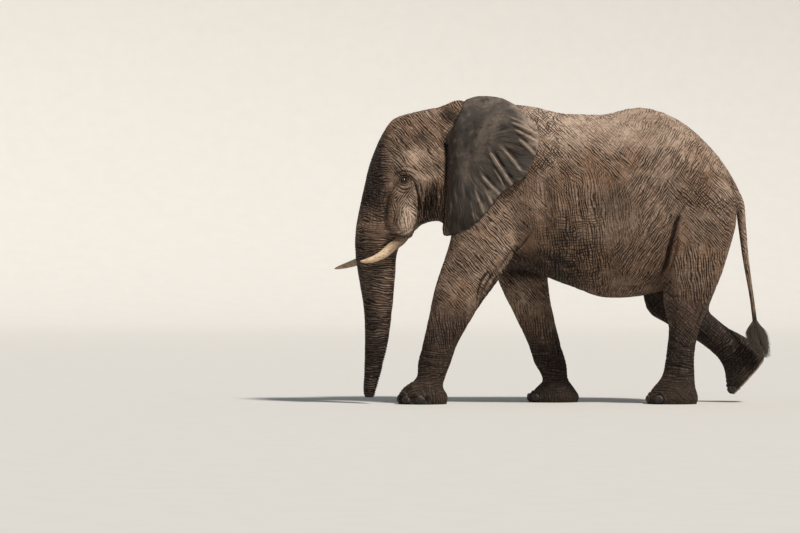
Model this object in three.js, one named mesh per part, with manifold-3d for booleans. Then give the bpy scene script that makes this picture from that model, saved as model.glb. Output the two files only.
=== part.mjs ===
// An adult male African bush elephant, walking, as a still life-size model.
// Millimetres, +Z up. It walks towards -X with its left side at -Y, and the floor is Z = 0.
// The flesh is modelled whole from lofted forms, then parted with thin cuts where its parts are named.
import * as THREE from "three";
import { mergeVertices } from "three/addons/utils/BufferGeometryUtils.js";
import Module from "manifold-3d";

const wasm = await Module();
wasm.setup();

// ---------------------------------------------------------------- driving dimensions
const SHOULDER_HEIGHT = 3130; // floor to the top of the withers
const DRAWN_SHOULDER_HEIGHT = 3130; // the shoulder height at which the slices below are written
const GAP = 0.4; // clearance between neighbouring solids
const HEAD_TURN = THREE.MathUtils.degToRad(8); // the head looks a little to its left
const TURN_STARTS_X = -850; // the neck begins to turn here
const TURN_LENGTH = 300; // and is fully turned this far in front
const EAR_THICKNESS = 26;
const EYE_RADIUS = 23;
const TUSK_RADIUS = 57;
const LEFT = -1;
const RIGHT = 1;

const skin = new THREE.MeshStandardMaterial({ color: 0x6b5e53, roughness: 0.9, metalness: 0 });
const darkSkin = new THREE.MeshStandardMaterial({ color: 0x453b35, roughness: 0.92, metalness: 0 });
const earSkin = new THREE.MeshStandardMaterial({ color: 0x57504a, roughness: 0.9, metalness: 0 });
const ivory = new THREE.MeshStandardMaterial({ color: 0xcdb899, roughness: 0.45, metalness: 0 });
const nailHorn = new THREE.MeshStandardMaterial({ color: 0x6a6258, roughness: 0.7, metalness: 0 });
const eyeGloss = new THREE.MeshStandardMaterial({ color: 0x2a1a10, roughness: 0.08, metalness: 0 });
const tailHair = new THREE.MeshStandardMaterial({ color: 0x2b2724, roughness: 0.6, metalness: 0 });

// ---------------------------------------------------------------- forms in slices
// A slice is one cross-section. `fore` and `aft` are its two ends in the side view, [x, z]; `half` is its
// half width, `y` the distance of its middle from the midline, `wide` the place of its widest point from
// -1 (aft) to 1 (fore), and `foreBox` and `aftBox` how square its two ends are (2 is an ellipse).
const sliceValues = ({ fore, aft, half, y = 0, wide = 0, foreBox = 2, aftBox = 2 }) => [
  ...fore, ...aft, half, y, wide, foreBox, aftBox,
];

// Catmull-Rom interpolation of one value between the second and third of four.
const between = (a, b, c, d, t) => {
  const slopeIn = (c - a) / 2;
  const slopeOut = (d - b) / 2;
  return (
    (2 * t ** 3 - 3 * t ** 2 + 1) * b +
    (t ** 3 - 2 * t ** 2 + t) * slopeIn +
    (3 * t ** 2 - 2 * t ** 3) * c +
    (t ** 3 - t ** 2) * slopeOut
  );
};

// All slices of a form: the named ones and those between them, about `step` apart.
function fillIn(slices, step) {
  const rows = slices.map(sliceValues);
  const filled = [rows[0]];
  for (let i = 0; i + 1 < rows.length; i++) {
    const rowAt = (n) => rows[THREE.MathUtils.clamp(n, 0, rows.length - 1)];
    const [a, b, c, d] = [i - 1, i, i + 1, i + 2].map(rowAt);
    const foreWay = Math.hypot(c[0] - b[0], c[1] - b[1]);
    const aftWay = Math.hypot(c[2] - b[2], c[3] - b[3]);
    const count = Math.max(1, Math.round((foreWay + aftWay) / 2 / step));
    for (let k = 1; k <= count; k++) {
      filled.push(b.map((_, v) => between(a[v], b[v], c[v], d[v], k / count)));
    }
  }
  return filled;
}

const squared = (value, box) => Math.sign(value) * Math.abs(value) ** (2 / box);

// A point of the head or neck, moved as the neck turns.
function turned(point) {
  const ahead = Math.max(0, TURN_STARTS_X - point.x);
  const share = Math.min(1, ahead / TURN_LENGTH);
  const swing = ahead < TURN_LENGTH ? ahead ** 2 / (2 * TURN_LENGTH) : ahead - TURN_LENGTH / 2;
  const { x, y, z } = point;
  return point.set(x - y * Math.sin(HEAD_TURN) * share, y - swing * Math.sin(HEAD_TURN), z);
}

const unturned = (point) => point;

// The closed body through a form's slices, `side` -1 or 1 for left or right, made larger by `grow`.
function loft(slices, { side = RIGHT, sides = 24, step = 110, grow = 0, pose = unturned } = {}) {
  const rings = fillIn(slices, step);
  const points = [];
  const ringMiddles = [];
  for (const [fx, fz, ax, az, half, y, wide, foreBox, aftBox] of rings) {
    const length = Math.hypot(fx - ax, fz - az);
    const along = new THREE.Vector3((fx - ax) / length, 0, (fz - az) / length);
    const middle = new THREE.Vector3((fx + ax) / 2, side * y, (fz + az) / 2);
    const widest = middle.clone().addScaledVector(along, (wide * length) / 2);
    for (let k = 0; k < sides; k++) {
      const angle = (2 * Math.PI * k) / sides;
      const [c, s] = [Math.cos(angle), Math.sin(angle)];
      const reach = (length / 2) * (c > 0 ? 1 - wide : 1 + wide) + grow;
      const box = c > 0 ? foreBox : aftBox;
      const point = widest.clone().addScaledVector(along, reach * squared(c, box));
      point.y += (half + grow) * squared(s, box);
      points.push(point);
    }
    ringMiddles.push(middle);
  }
  const capStart = points.length;
  points.push(ringMiddles[0].clone(), ringMiddles.at(-1).clone());
  for (const [end, inside] of [[0, 1], [rings.length - 1, rings.length - 2]]) {
    const outward = ringMiddles[end].clone().sub(ringMiddles[inside]).setLength(grow);
    for (let k = 0; k < sides; k++) points[end * sides + k].add(outward);
    points[end === 0 ? capStart : capStart + 1].add(outward);
  }
  points.forEach(pose);
  const faces = [];
  for (let r = 0; r + 1 < rings.length; r++) {
    for (let k = 0; k < sides; k++) {
      const [a, b] = [r * sides + k, r * sides + ((k + 1) % sides)];
      faces.push([a, b, b + sides], [a, b + sides, a + sides]);
    }
  }
  for (let k = 0; k < sides; k++) {
    const next = (k + 1) % sides;
    const last = (rings.length - 1) * sides;
    faces.push([capStart, next, k], [capStart + 1, last + k, last + next]);
  }
  return closedBody(points, faces);
}

// A BufferGeometry from points and triangles, turned so that its faces point out.
function closedBody(points, faces) {
  let volume = 0;
  for (const [a, b, c] of faces) {
    volume += points[a].dot(new THREE.Vector3().crossVectors(points[b], points[c]));
  }
  const index = faces.flatMap(([a, b, c]) => (volume < 0 ? [a, c, b] : [a, b, c]));
  return new THREE.BufferGeometry().setFromPoints(points).setIndex(index);
}

// A geometry as a manifold-3d solid.
function solid(geometry) {
  const bare = geometry.clone();
  bare.deleteAttribute("normal");
  bare.deleteAttribute("uv");
  const merged = mergeVertices(bare, 1e-3);
  return new wasm.Manifold(
    new wasm.Mesh({
      numProp: 3,
      vertProperties: merged.attributes.position.array,
      triVerts: new Uint32Array(merged.index.array),
    }),
  );
}

// A solid as a named mesh.
function named(name, body, material) {
  const largest = body.decompose().sort((a, b) => b.volume() - a.volume())[0];
  const mesh = largest.getMesh();
  const geometry = new THREE.BufferGeometry()
    .setAttribute("position", new THREE.BufferAttribute(new Float32Array(mesh.vertProperties), 3))
    .setIndex(new THREE.BufferAttribute(mesh.triVerts, 1));
  geometry.computeVertexNormals();
  const part = new THREE.Mesh(geometry, material);
  part.name = name;
  return part;
}

// ---------------------------------------------------------------- barrel and neck
const BARREL = [
  { at: "breast", fore: [-1060, 2500], aft: [-1090, 1800], half: 170 },
  { at: "point of shoulder", fore: [-960, 2900], aft: [-1010, 1560], half: 350, wide: -0.1 },
  { at: "withers", fore: [-680, 3120], aft: [-760, 1410], half: 480, wide: -0.1, foreBox: 1.9 },
  { at: "girth", fore: [-330, 3115], aft: [-400, 1400], half: 590, wide: -0.1, foreBox: 1.9 },
  { at: "ribs", fore: [50, 3030], aft: [40, 1255], half: 670, wide: -0.1, foreBox: 1.95 },
  { at: "belly", fore: [450, 3022], aft: [440, 1115], half: 715, wide: -0.12 },
  { at: "loin", fore: [850, 3090], aft: [800, 1118], half: 700, wide: -0.08 },
  { at: "hips", fore: [1180, 2995], aft: [1090, 1190], half: 640, wide: 0.1 },
  { at: "croup", fore: [1480, 2780], aft: [1350, 1330], half: 550, wide: 0.2 },
  { at: "rump", fore: [1720, 2510], aft: [1600, 1540], half: 420, wide: 0.2 },
  { at: "dock", fore: [1860, 2270], aft: [1770, 1780], half: 240, wide: 0.1 },
  { at: "seat", fore: [1900, 2140], aft: [1840, 1950], half: 90 },
];

const NECK = [
  { at: "poll", fore: [-1420, 3040], aft: [-1400, 1980], half: 260 },
  { at: "behind the jaw", fore: [-1180, 3142], aft: [-1230, 1880], half: 300 },
  { at: "middle", fore: [-950, 3160], aft: [-1080, 1740], half: 350 },
  { at: "base", fore: [-650, 3120], aft: [-860, 1600], half: 430 },
];

// ---------------------------------------------------------------- head
// One column from the crown down the face, whose lower part runs on as the trunk.
const FACE = [
  { at: "crown", fore: [-1590, 3036], aft: [-1330, 3098], half: 80 },
  { at: "dome", fore: [-1752, 2970], aft: [-1180, 3075], half: 210, foreBox: 2.2 },
  { at: "forehead", fore: [-1858, 2830], aft: [-1080, 2900], half: 295, foreBox: 2.4, wide: -0.1 },
  { at: "temple", fore: [-1943, 2640], aft: [-1060, 2660], half: 335, foreBox: 2.4, wide: -0.15 },
  { at: "brow", fore: [-2014, 2440], aft: [-1080, 2440], half: 365, foreBox: 2.3, wide: -0.1 },
  { at: "cheekbone", fore: [-2064, 2220], aft: [-1210, 2230], half: 352, foreBox: 2.1, wide: -0.2 },
  { at: "cheek", fore: [-2104, 2050], aft: [-1400, 2050], half: 318, foreBox: 2, wide: -0.3 },
  { at: "upper lip", fore: [-2138, 1850], aft: [-1535, 1870], half: 285, foreBox: 2, wide: -0.3 },
  { at: "lip edge", fore: [-2150, 1690], aft: [-1640, 1725], half: 235, foreBox: 2, wide: -0.2 },
  { at: "trunk root", fore: [-2143, 1540], aft: [-1718, 1560], half: 198, aftBox: 2.5, wide: -0.1 },
];

const TRUNK = [
  FACE.at(-1),
  { at: "upper trunk", fore: [-2112, 1330], aft: [-1735, 1330], half: 178, aftBox: 2.6, wide: -0.1 },
  { at: "middle trunk", fore: [-2060, 1000], aft: [-1765, 1000], half: 145, aftBox: 2.6, wide: -0.1 },
  { at: "lower trunk", fore: [-2046, 650], aft: [-1810, 650], half: 115, aftBox: 2.6, wide: -0.1 },
  { at: "above the tip", fore: [-2056, 330], aft: [-1880, 330], half: 84, aftBox: 2.4 },
  { at: "tip", fore: [-2063, 130], aft: [-1935, 130], half: 64 },
  { at: "finger", fore: [-2045, 62], aft: [-1950, 66], half: 48 },
];

const JAW = [
  { at: "throat", fore: [-1180, 2350], aft: [-1230, 1905], half: 245 },
  { at: "jaw angle", fore: [-1340, 2300], aft: [-1350, 1902], half: 262 },
  { at: "jaw", fore: [-1450, 2150], aft: [-1450, 1868], half: 185 },
  { at: "lower lip", fore: [-1535, 1990], aft: [-1510, 1818], half: 100 },
  { at: "lip tip", fore: [-1575, 1880], aft: [-1555, 1800], half: 45 },
];

// The bulge that holds a tusk's root, from the cheekbone to the lip.
const TUSK_SHEATH = [
  { at: "cheekbone", fore: [-1740, 2290], aft: [-1470, 2270], y: 225, half: 90 },
  { at: "sheath", fore: [-1800, 2010], aft: [-1515, 1960], y: 225, half: 118 },
  { at: "lip", fore: [-1822, 1790], aft: [-1580, 1755], y: 235, half: 105 },
  { at: "lip rim", fore: [-1800, 1748], aft: [-1640, 1722], y: 240, half: 76 },
];

// The bony ridge above the eye, which runs back to the ear.
const BROW = [
  { at: "front", fore: [-1850, 2500], aft: [-1845, 2410], y: 250, half: 24 },
  { at: "above the eye", fore: [-1715, 2520], aft: [-1700, 2380], y: 322, half: 46 },
  { at: "cheekbone arch", fore: [-1500, 2440], aft: [-1500, 2230], y: 330, half: 46 },
  { at: "ear", fore: [-1270, 2420], aft: [-1270, 2230], y: 290, half: 50 },
];

const EYE = [-1690, 350, 2332];

// Middle lines of the tusks: distance from the tail end, distance from the midline, height.
const TUSK_ROOT = [
  [-1640, 232, 1800],
  [-1680, 238, 1742],
  [-1715, 243, 1702],
  [-1774, 252, 1657],
];
const LEFT_TUSK = [
  ...TUSK_ROOT,
  [-1830, 262, 1612], [-1882, 270, 1568], [-1938, 276, 1535],
  [-1992, 280, 1511], [-2074, 284, 1489], [-2133, 285, 1488],
];
const RIGHT_TUSK = [
  ...TUSK_ROOT,
  [-1860, 264, 1596], [-1960, 274, 1540], [-2080, 280, 1487], [-2200, 284, 1446], [-2332, 284, 1409],
];

// ---------------------------------------------------------------- ears
const EAR_OUTLINE = [
  [-1187, 2682], [-1193, 2485], [-1202, 2288], [-1209, 2091], [-1220, 1923], [-1230, 1795],
  [-1192, 1759], [-1088, 1779], [-960, 1834], [-861, 1923], [-753, 2041], [-634, 2194],
  [-516, 2276], [-417, 2337], [-338, 2436], [-281, 2574], [-242, 2732], [-252, 2850],
  [-319, 2949], [-417, 3052], [-536, 3146], [-664, 3197], [-812, 3213], [-911, 3201],
  [-1009, 3156], [-1060, 3028], [-1124, 2892], [-1201, 2781],
];
const EAR_MIDDLE = [-760, 2560];
const EAR_SIDES = 30;
const EAR_RINGS = [0.45, 0.82, 1];

const EAR_ROOT = [
  { at: "top", fore: [-1195, 2880], aft: [-1110, 2880], y: 285, half: 40 },
  { at: "upper", fore: [-1200, 2650], aft: [-1050, 2650], y: 310, half: 62 },
  { at: "ear hole", fore: [-1205, 2350], aft: [-1050, 2350], y: 315, half: 62 },
  { at: "bottom", fore: [-1205, 2020], aft: [-1120, 2020], y: 290, half: 44 },
];

// ---------------------------------------------------------------- legs
const FORELEG_TOP = [
  { at: "shoulder blade", fore: [-850, 2780], aft: [-500, 2700], y: 290, half: 60 },
];

const LEFT_FORELEG = [
  ...FORELEG_TOP,
  { at: "shoulder", fore: [-1015, 2343], aft: [-429, 2244], y: 385, half: 150 },
  { at: "upper arm", fore: [-1104, 1946], aft: [-410, 1847], y: 375, half: 190 },
  { at: "armpit", fore: [-1191, 1598], aft: [-509, 1539], y: 365, half: 200 },
  { at: "elbow", fore: [-1303, 1251], aft: [-690, 1241], y: 350, half: 190 },
  { at: "forearm", fore: [-1369, 953], aft: [-903, 943], y: 330, half: 172 },
  { at: "above the wrist", fore: [-1440, 646], aft: [-1069, 646], y: 312, half: 155 },
  { at: "wrist", fore: [-1491, 437], aft: [-1149, 437], y: 303, half: 150 },
  { at: "pastern", fore: [-1503, 278], aft: [-1217, 271], y: 300, half: 150 },
  { at: "instep", fore: [-1628, 179], aft: [-1233, 174], y: 300, half: 184 },
  { at: "foot", fore: [-1700, 90], aft: [-1187, 90], y: 300, half: 222 },
  { at: "sole", fore: [-1704, 0], aft: [-1184, 0], y: 300, half: 220 },
];

const RIGHT_FORELEG = [
  ...FORELEG_TOP,
  { at: "shoulder", fore: [-924, 2357], aft: [-330, 2256], y: 385, half: 150 },
  { at: "upper arm", fore: [-844, 1954], aft: [-199, 1853], y: 375, half: 190 },
  { at: "armpit", fore: [-745, 1602], aft: [-139, 1541], y: 365, half: 200 },
  { at: "elbow", fore: [-632, 1269], aft: [-106, 1239], y: 350, half: 190 },
  { at: "forearm", fore: [-491, 967], aft: [-62, 947], y: 330, half: 172 },
  { at: "above the wrist", fore: [-337, 644], aft: [15, 634], y: 312, half: 155 },
  { at: "wrist", fore: [-261, 423], aft: [80, 413], y: 303, half: 150 },
  { at: "pastern", fore: [-169, 246], aft: [95, 253], y: 300, half: 148 },
  { at: "instep", fore: [-229, 163], aft: [154, 156], y: 300, half: 182 },
  { at: "foot", fore: [-324, 68], aft: [210, 70], y: 300, half: 222 },
  { at: "sole", fore: [-326, 0], aft: [210, 0], y: 300, half: 220 },
];

const HIND_LEG_TOP = [
  { at: "hip", fore: [1050, 2650], aft: [1540, 2560], y: 320, half: 70 },
];

const LEFT_HIND_LEG = [
  ...HIND_LEG_TOP,
  { at: "haunch", fore: [1012, 2294], aft: [1762, 2234], y: 350, half: 205 },
  { at: "buttock", fore: [1076, 1946], aft: [1828, 1926], y: 330, half: 255 },
  { at: "thigh", fore: [1096, 1619], aft: [1740, 1589], y: 325, half: 262 },
  { at: "lower thigh", fore: [1066, 1321], aft: [1645, 1281], y: 315, half: 232 },
  { at: "knee", fore: [1069, 1062], aft: [1540, 1023], y: 305, half: 192 },
  { at: "shank", fore: [1116, 784], aft: [1439, 784], y: 290, half: 160 },
  { at: "lower shank", fore: [1097, 526], aft: [1394, 526], y: 278, half: 148 },
  { at: "ankle", fore: [1063, 307], aft: [1390, 307], y: 270, half: 150 },
  { at: "instep", fore: [967, 180], aft: [1402, 173], y: 268, half: 176 },
  { at: "foot", fore: [895, 87], aft: [1425, 89], y: 268, half: 204 },
  { at: "sole", fore: [887, 0], aft: [1429, 0], y: 268, half: 202 },
];

const RIGHT_HIND_LEG = [
  ...HIND_LEG_TOP,
  { at: "haunch", fore: [978, 2306], aft: [1809, 2246], y: 350, half: 205 },
  { at: "buttock", fore: [923, 1954], aft: [1839, 1883], y: 330, half: 255 },
  { at: "thigh", fore: [890, 1601], aft: [1728, 1501], y: 325, half: 255 },
  { at: "lower thigh", fore: [879, 1269], aft: [1628, 1178], y: 315, half: 225 },
  { at: "knee", fore: [940, 972], aft: [1592, 1002], y: 300, half: 190 },
  { at: "below the knee", fore: [1149, 831], aft: [1592, 962], y: 295, half: 170 },
  { at: "shank", fore: [1446, 655], aft: [1635, 912], y: 288, half: 150 },
  { at: "lower shank", fore: [1623, 529], aft: [1779, 791], y: 282, half: 142 },
  { at: "ankle", fore: [1718, 418], aft: [1950, 700], y: 278, half: 150 },
  { at: "instep", fore: [1758, 305], aft: [2092, 607], y: 275, half: 174 },
  { at: "foot", fore: [1776, 164], aft: [2154, 514], y: 275, half: 200 },
  { at: "sole", fore: [1846, 75], aft: [2169, 445], y: 275, half: 192 },
];

// ---------------------------------------------------------------- tail
const TAIL = [
  { at: "root", fore: [1800, 2330], aft: [1780, 2180], half: 60 },
  { at: "dock", fore: [1925, 2130], aft: [1835, 2090], half: 56 },
  { at: "upper tail", fore: [1955, 1850], aft: [1872, 1845], half: 40 },
  { at: "middle tail", fore: [1985, 1500], aft: [1922, 1490], half: 30 },
  { at: "lower tail", fore: [2035, 1120], aft: [1990, 1115], half: 22 },
  { at: "end of the bone", fore: [2080, 790], aft: [2030, 785], half: 20 },
];

const TAIL_TUFT = [
  { at: "first hairs", fore: [2078, 880], aft: [2018, 875], half: 28 },
  { at: "spread", fore: [2135, 770], aft: [1970, 755], half: 42 },
  { at: "fan", fore: [2170, 650], aft: [2010, 630], half: 44 },
  { at: "lower fan", fore: [2188, 560], aft: [2072, 550], half: 34 },
  { at: "hair tips", fore: [2180, 470], aft: [2135, 468], half: 14 },
];

// ---------------------------------------------------------------- solids from the forms
const both = (build) => [build(LEFT), build(RIGHT)];
const union = (bodies) => bodies.reduce((all, body) => all.add(body));

function barrel(grow = 0) {
  return solid(loft(BARREL, { sides: 20, step: 230, grow }));
}

function neck(grow = 0) {
  return solid(loft(NECK, { sides: 16, step: 200, grow, pose: turned }));
}

function face(grow = 0) {
  return solid(loft([...FACE, ...TRUNK.slice(1)], { sides: 18, step: 180, grow, pose: turned }));
}

function jaw(grow = 0) {
  return solid(loft(JAW, { sides: 14, step: 110, grow, pose: turned }));
}

function faceSide(side, grow = 0) {
  const shape = { side, sides: 12, step: 130, grow, pose: turned };
  return union([TUSK_SHEATH, BROW].map((form) => solid(loft(form, shape))));
}

const LEGS = [
  { name: "foreleg_left", side: LEFT, slices: LEFT_FORELEG },
  { name: "foreleg_right", side: RIGHT, slices: RIGHT_FORELEG },
  { name: "hind_leg_left", side: LEFT, slices: LEFT_HIND_LEG },
  { name: "hind_leg_right", side: RIGHT, slices: RIGHT_HIND_LEG },
];

function leg({ slices, side }, grow = 0) {
  return solid(loft(slices, { side, sides: 13, step: 260, grow }));
}

function bodyForms(grow = 0) {
  return union([barrel(grow), neck(grow), ...LEGS.map((one) => leg(one, grow))]);
}

function headForms(grow = 0) {
  return union([face(grow), jaw(grow), ...both((side) => faceSide(side, grow))]);
}

// The distance of the ear's middle surface from the midline.
function earSpread(x, z) {
  const back = 1 - Math.exp(-(x + 1190) / 350);
  const curl = Math.max(0, (z - 2840) / 398) ** 2;
  const hang = Math.max(0, (2250 - z) / 485);
  return 358 + 305 * back - 300 * curl + 45 * hang;
}

// A flat sheet bent to earSpread: an inner and an outer face of rings about the middle, joined at the rim.
function earSheet(side) {
  const outline = new THREE.CatmullRomCurve3(
    EAR_OUTLINE.map(([x, z]) => new THREE.Vector3(x, 0, z)),
    true,
  ).getSpacedPoints(EAR_SIDES);
  const middle = new THREE.Vector3(EAR_MIDDLE[0], 0, EAR_MIDDLE[1]);
  const points = [];
  const faces = [];
  const place = (reach, k, out) => {
    const { x, z } = middle.clone().lerp(outline[k], reach);
    const rootward = THREE.MathUtils.clamp((-950 - x) / 240, 0, 1);
    const half = reach === 1 ? EAR_THICKNESS / 5 : EAR_THICKNESS / 2 + 10 * rootward;
    points.push(new THREE.Vector3(x, side * (earSpread(x, z) + out * half), z));
  };
  for (const out of [-1, 1]) {
    const start = points.length;
    place(0, 0, out);
    for (const [ring, reach] of EAR_RINGS.entries()) {
      for (let k = 0; k < EAR_SIDES; k++) {
        place(reach, k, out);
        const [a, b] = [k, (k + 1) % EAR_SIDES].map((n) => start + 1 + ring * EAR_SIDES + n);
        const [c, d] = [a - EAR_SIDES, b - EAR_SIDES];
        const strip = ring === 0 ? [[start, a, b]] : [[d, c, a], [d, a, b]];
        faces.push(...strip.map((face) => (out > 0 ? face : face.toReversed())));
      }
    }
  }
  const outer = points.length / 2;
  for (let k = 0; k < EAR_SIDES; k++) {
    const [a, b] = [k, (k + 1) % EAR_SIDES].map((n) => outer - EAR_SIDES + n);
    faces.push([a, b, b + outer], [a, b + outer, a + outer]);
  }
  return closedBody(points, faces);
}

function ear(side) {
  const whole = solid(earSheet(side)).add(solid(loft(EAR_ROOT, { side, sides: 8, step: 400 })));
  return whole.subtract(headForms(GAP)).subtract(bodyForms(GAP));
}

// A tapering round tube along a curved middle line.
function tusk(line, side, grow = 0) {
  const curve = new THREE.CatmullRomCurve3(
    line.map(([x, y, z]) => turned(new THREE.Vector3(x, side * y, z))),
  );
  const [rings, sides] = [9, 9];
  const { normals, binormals } = curve.computeFrenetFrames(rings, false);
  const points = [];
  const faces = [];
  for (let r = 0; r <= rings; r++) {
    const along = r / rings;
    const radius = Math.max(7, TUSK_RADIUS * Math.sqrt(1 - along ** 5) * (1 - 0.45 * along ** 1.6)) + grow;
    for (let k = 0; k < sides; k++) {
      const angle = (2 * Math.PI * k) / sides;
      const spoke = normals[r].clone().multiplyScalar(Math.cos(angle) * radius);
      spoke.addScaledVector(binormals[r], Math.sin(angle) * radius);
      points.push(curve.getPointAt(along).add(spoke));
      const [a, b] = [r * sides + k, r * sides + ((k + 1) % sides)];
      if (r < rings) faces.push([a, b, b + sides], [a, b + sides, a + sides]);
    }
  }
  points.push(curve.getPointAt(0).addScaledVector(curve.getTangentAt(0), -grow), curve.getPointAt(1));
  for (let k = 0; k < sides; k++) {
    const next = (k + 1) % sides;
    faces.push([points.length - 2, next, k], [points.length - 1, rings * sides + k, rings * sides + next]);
  }
  return solid(closedBody(points, faces));
}

function eye(side, grow = 0) {
  const middle = turned(new THREE.Vector3(EYE[0], side * EYE[1], EYE[2]));
  return solid(new THREE.SphereGeometry(EYE_RADIUS + grow, 10, 6).translate(...middle));
}

// ---------------------------------------------------------------- nails
// Each foot's sole: its middle, its heel-to-toe and side-to-side half lengths and the slope of the sole.
const FORE_NAILS = [-42, 2, 45, 84]; // degrees from straight ahead towards the outer side
const HIND_NAILS = [-30, 12, 55];
const FEET = [
  { name: "fore_nail_left", side: LEFT, sole: [-1443, 0], y: 300, half: [259, 220], at: FORE_NAILS },
  { name: "fore_nail_right", side: RIGHT, sole: [-58, 0], y: 300, half: [268, 220], at: FORE_NAILS },
  { name: "hind_nail_left", side: LEFT, sole: [1158, 0], y: 268, half: [269, 202], at: HIND_NAILS },
  {
    name: "hind_nail_right", side: RIGHT, sole: [2006, 259], y: 275, half: [246, 193],
    slope: 49, at: HIND_NAILS,
  },
];
const NAIL = { width: 100, height: 84, depth: 62, above: 52, inset: 20 };

// One nail, let into the wall of the foot at an angle from straight ahead towards the outer side.
function nail({ side, sole, y, half, slope = 0 }, degrees, grow = 0) {
  const angle = THREE.MathUtils.degToRad(degrees);
  const [length, width] = half.map((reach) => reach - NAIL.inset);
  return solid(
    new THREE.SphereGeometry(0.5, 7, 4)
      .rotateX(Math.PI / 2)
      .scale(NAIL.depth + 2 * grow, NAIL.width + 2 * grow, NAIL.height + 2 * grow)
      .rotateZ(-side * Math.atan2(Math.sin(angle) * length, Math.cos(angle) * width))
      .translate(-Math.cos(angle) * length, side * Math.sin(angle) * width, NAIL.above)
      .rotateY(-THREE.MathUtils.degToRad(slope))
      .translate(sole[0], side * y, sole[1]),
  );
}

const nails = FEET.flatMap((foot) =>
  foot.at.map((degrees, i) => {
    return { name: `${foot.name}_${i + 1}`, build: (grow) => nail(foot, degrees, grow) };
  }),
);

// ---------------------------------------------------------------- parting the flesh
// A convex outline in the side view, moved out by `grow`, as a block from one distance to another.
function block({ outline, from, to }, grow = 0) {
  const area = outline.reduce((sum, [x, z], i) => {
    const [nx, nz] = outline[(i + 1) % outline.length];
    return sum + x * nz - nx * z;
  }, 0);
  const corners = outline.map((corner, i) => {
    const before = outline[(i + outline.length - 1) % outline.length];
    const after = outline[(i + 1) % outline.length];
    const normal = ([x0, z0], [x1, z1]) =>
      new THREE.Vector2(z1 - z0, x0 - x1).normalize().multiplyScalar(Math.sign(area));
    const [n1, n2] = [normal(before, corner), normal(corner, after)];
    const out = n1.clone().add(n2).multiplyScalar(grow / (1 + n1.dot(n2)));
    return new THREE.Vector2(corner[0] + out.x, corner[1] + out.y);
  });
  const depth = to - from + 2 * grow;
  return solid(
    new THREE.ExtrudeGeometry(new THREE.Shape(corners), { depth, bevelEnabled: false })
      .rotateX(Math.PI / 2)
      .translate(0, to + grow, 0),
  );
}

const LEG_SIDE = { left: { from: -900, to: -60 }, right: { from: 60, to: 900 } };
const ARMPIT_SIDE = { left: { from: -900, to: -150 }, right: { from: 150, to: 900 } };
const HEAD_SIDE = { from: -800, to: 800 };
const JAW_SIDE = { from: -290, to: 110 };

// Where each named length of flesh begins and ends, in the order in which they are parted.
const LENGTHS = {
  trunk_lower: { ...HEAD_SIDE, outline: [[-2400, 20], [-1780, 20], [-1780, 600], [-2400, 640]] },
  trunk_middle: { ...HEAD_SIDE, outline: [[-2400, 640], [-1700, 595], [-1600, 1090], [-2400, 1170]] },
  trunk_upper: { ...HEAD_SIDE, outline: [[-2400, 1170], [-1600, 1085], [-1600, 1600], [-2400, 1680]] },
  lower_jaw: {
    ...JAW_SIDE,
    outline: [[-1590, 1700], [-1568, 1800], [-1500, 1985], [-1310, 2030], [-1275, 1700]],
  },
  foreleg_left_upper: {
    ...ARMPIT_SIDE.left,
    outline: [[-1500, 1090], [-700, 920], [-540, 1300], [-500, 1530], [-1180, 1790], [-1500, 1790]],
  },
  foreleg_left_lower: { ...LEG_SIDE.left, outline: [[-1650, 330], [-900, 330], [-600, 1000], [-1500, 1150]] },
  foreleg_left_foot: { ...LEG_SIDE.left, outline: [[-1800, -50], [-1000, -50], [-1000, 330], [-1800, 330]] },
  foreleg_right_upper: {
    ...ARMPIT_SIDE.right,
    outline: [[-640, 935], [-30, 1025], [-90, 1500], [-830, 1640], [-800, 1400]],
  },
  foreleg_right_lower: { ...LEG_SIDE.right, outline: [[-500, 330], [200, 330], [200, 1100], [-900, 1000]] },
  foreleg_right_foot: { ...LEG_SIDE.right, outline: [[-500, -50], [400, -50], [400, 330], [-500, 330]] },
  hind_leg_left_upper: {
    ...LEG_SIDE.left,
    outline: [[1060, 868], [1800, 820], [1990, 1500], [1990, 1870], [1060, 1340], [1040, 1200]],
  },
  hind_leg_left_lower: { ...LEG_SIDE.left, outline: [[950, 330], [1600, 330], [1700, 880], [950, 930]] },
  hind_leg_left_foot: { ...LEG_SIDE.left, outline: [[700, -50], [1700, -50], [1700, 330], [700, 330]] },
  hind_leg_right_foot: {
    ...LEG_SIDE.right,
    outline: [[1500, -50], [2400, -50], [2400, 770], [2000, 770], [1600, 380]],
  },
  hind_leg_right_lower: {
    ...LEG_SIDE.right,
    outline: [[1180, 300], [2300, 300], [2300, 1000], [1600, 975], [1330, 930]],
  },
  hind_leg_right_upper: {
    ...LEG_SIDE.right,
    outline: [[830, 900], [1250, 500], [2000, 500], [1990, 1500], [1990, 1870], [860, 1330], [830, 1250]],
  },
  head: { ...HEAD_SIDE, outline: [[-2600, 1500], [-1290, 1500], [-1245, 3400], [-2600, 3400]] },
  neck: { ...HEAD_SIDE, outline: [[-1400, 1500], [-985, 1500], [-760, 3400], [-1400, 3400]] },
};

const SHADED = { trunk_lower: darkSkin, hind_leg_right_foot: darkSkin, hind_leg_right_lower: darkSkin };

// The flesh, with the seats of the tusks, eyes and nails cut out of it, parted into its named lengths.
function partedFlesh() {
  let rest = union([headForms(), bodyForms()]);
  for (const side of [LEFT, RIGHT]) rest = rest.subtract(eye(side, GAP));
  rest = rest.subtract(tusk(LEFT_TUSK, LEFT, GAP)).subtract(tusk(RIGHT_TUSK, RIGHT, GAP));
  for (const { build } of nails) rest = rest.subtract(build(GAP));
  const parts = Object.entries(LENGTHS).map(([name, region]) => {
    const part = rest.intersect(block(region));
    rest = rest.subtract(block(region, GAP));
    return named(name, part, SHADED[name] ?? skin);
  });
  return [...parts, named("torso", rest, skin)];
}

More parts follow.
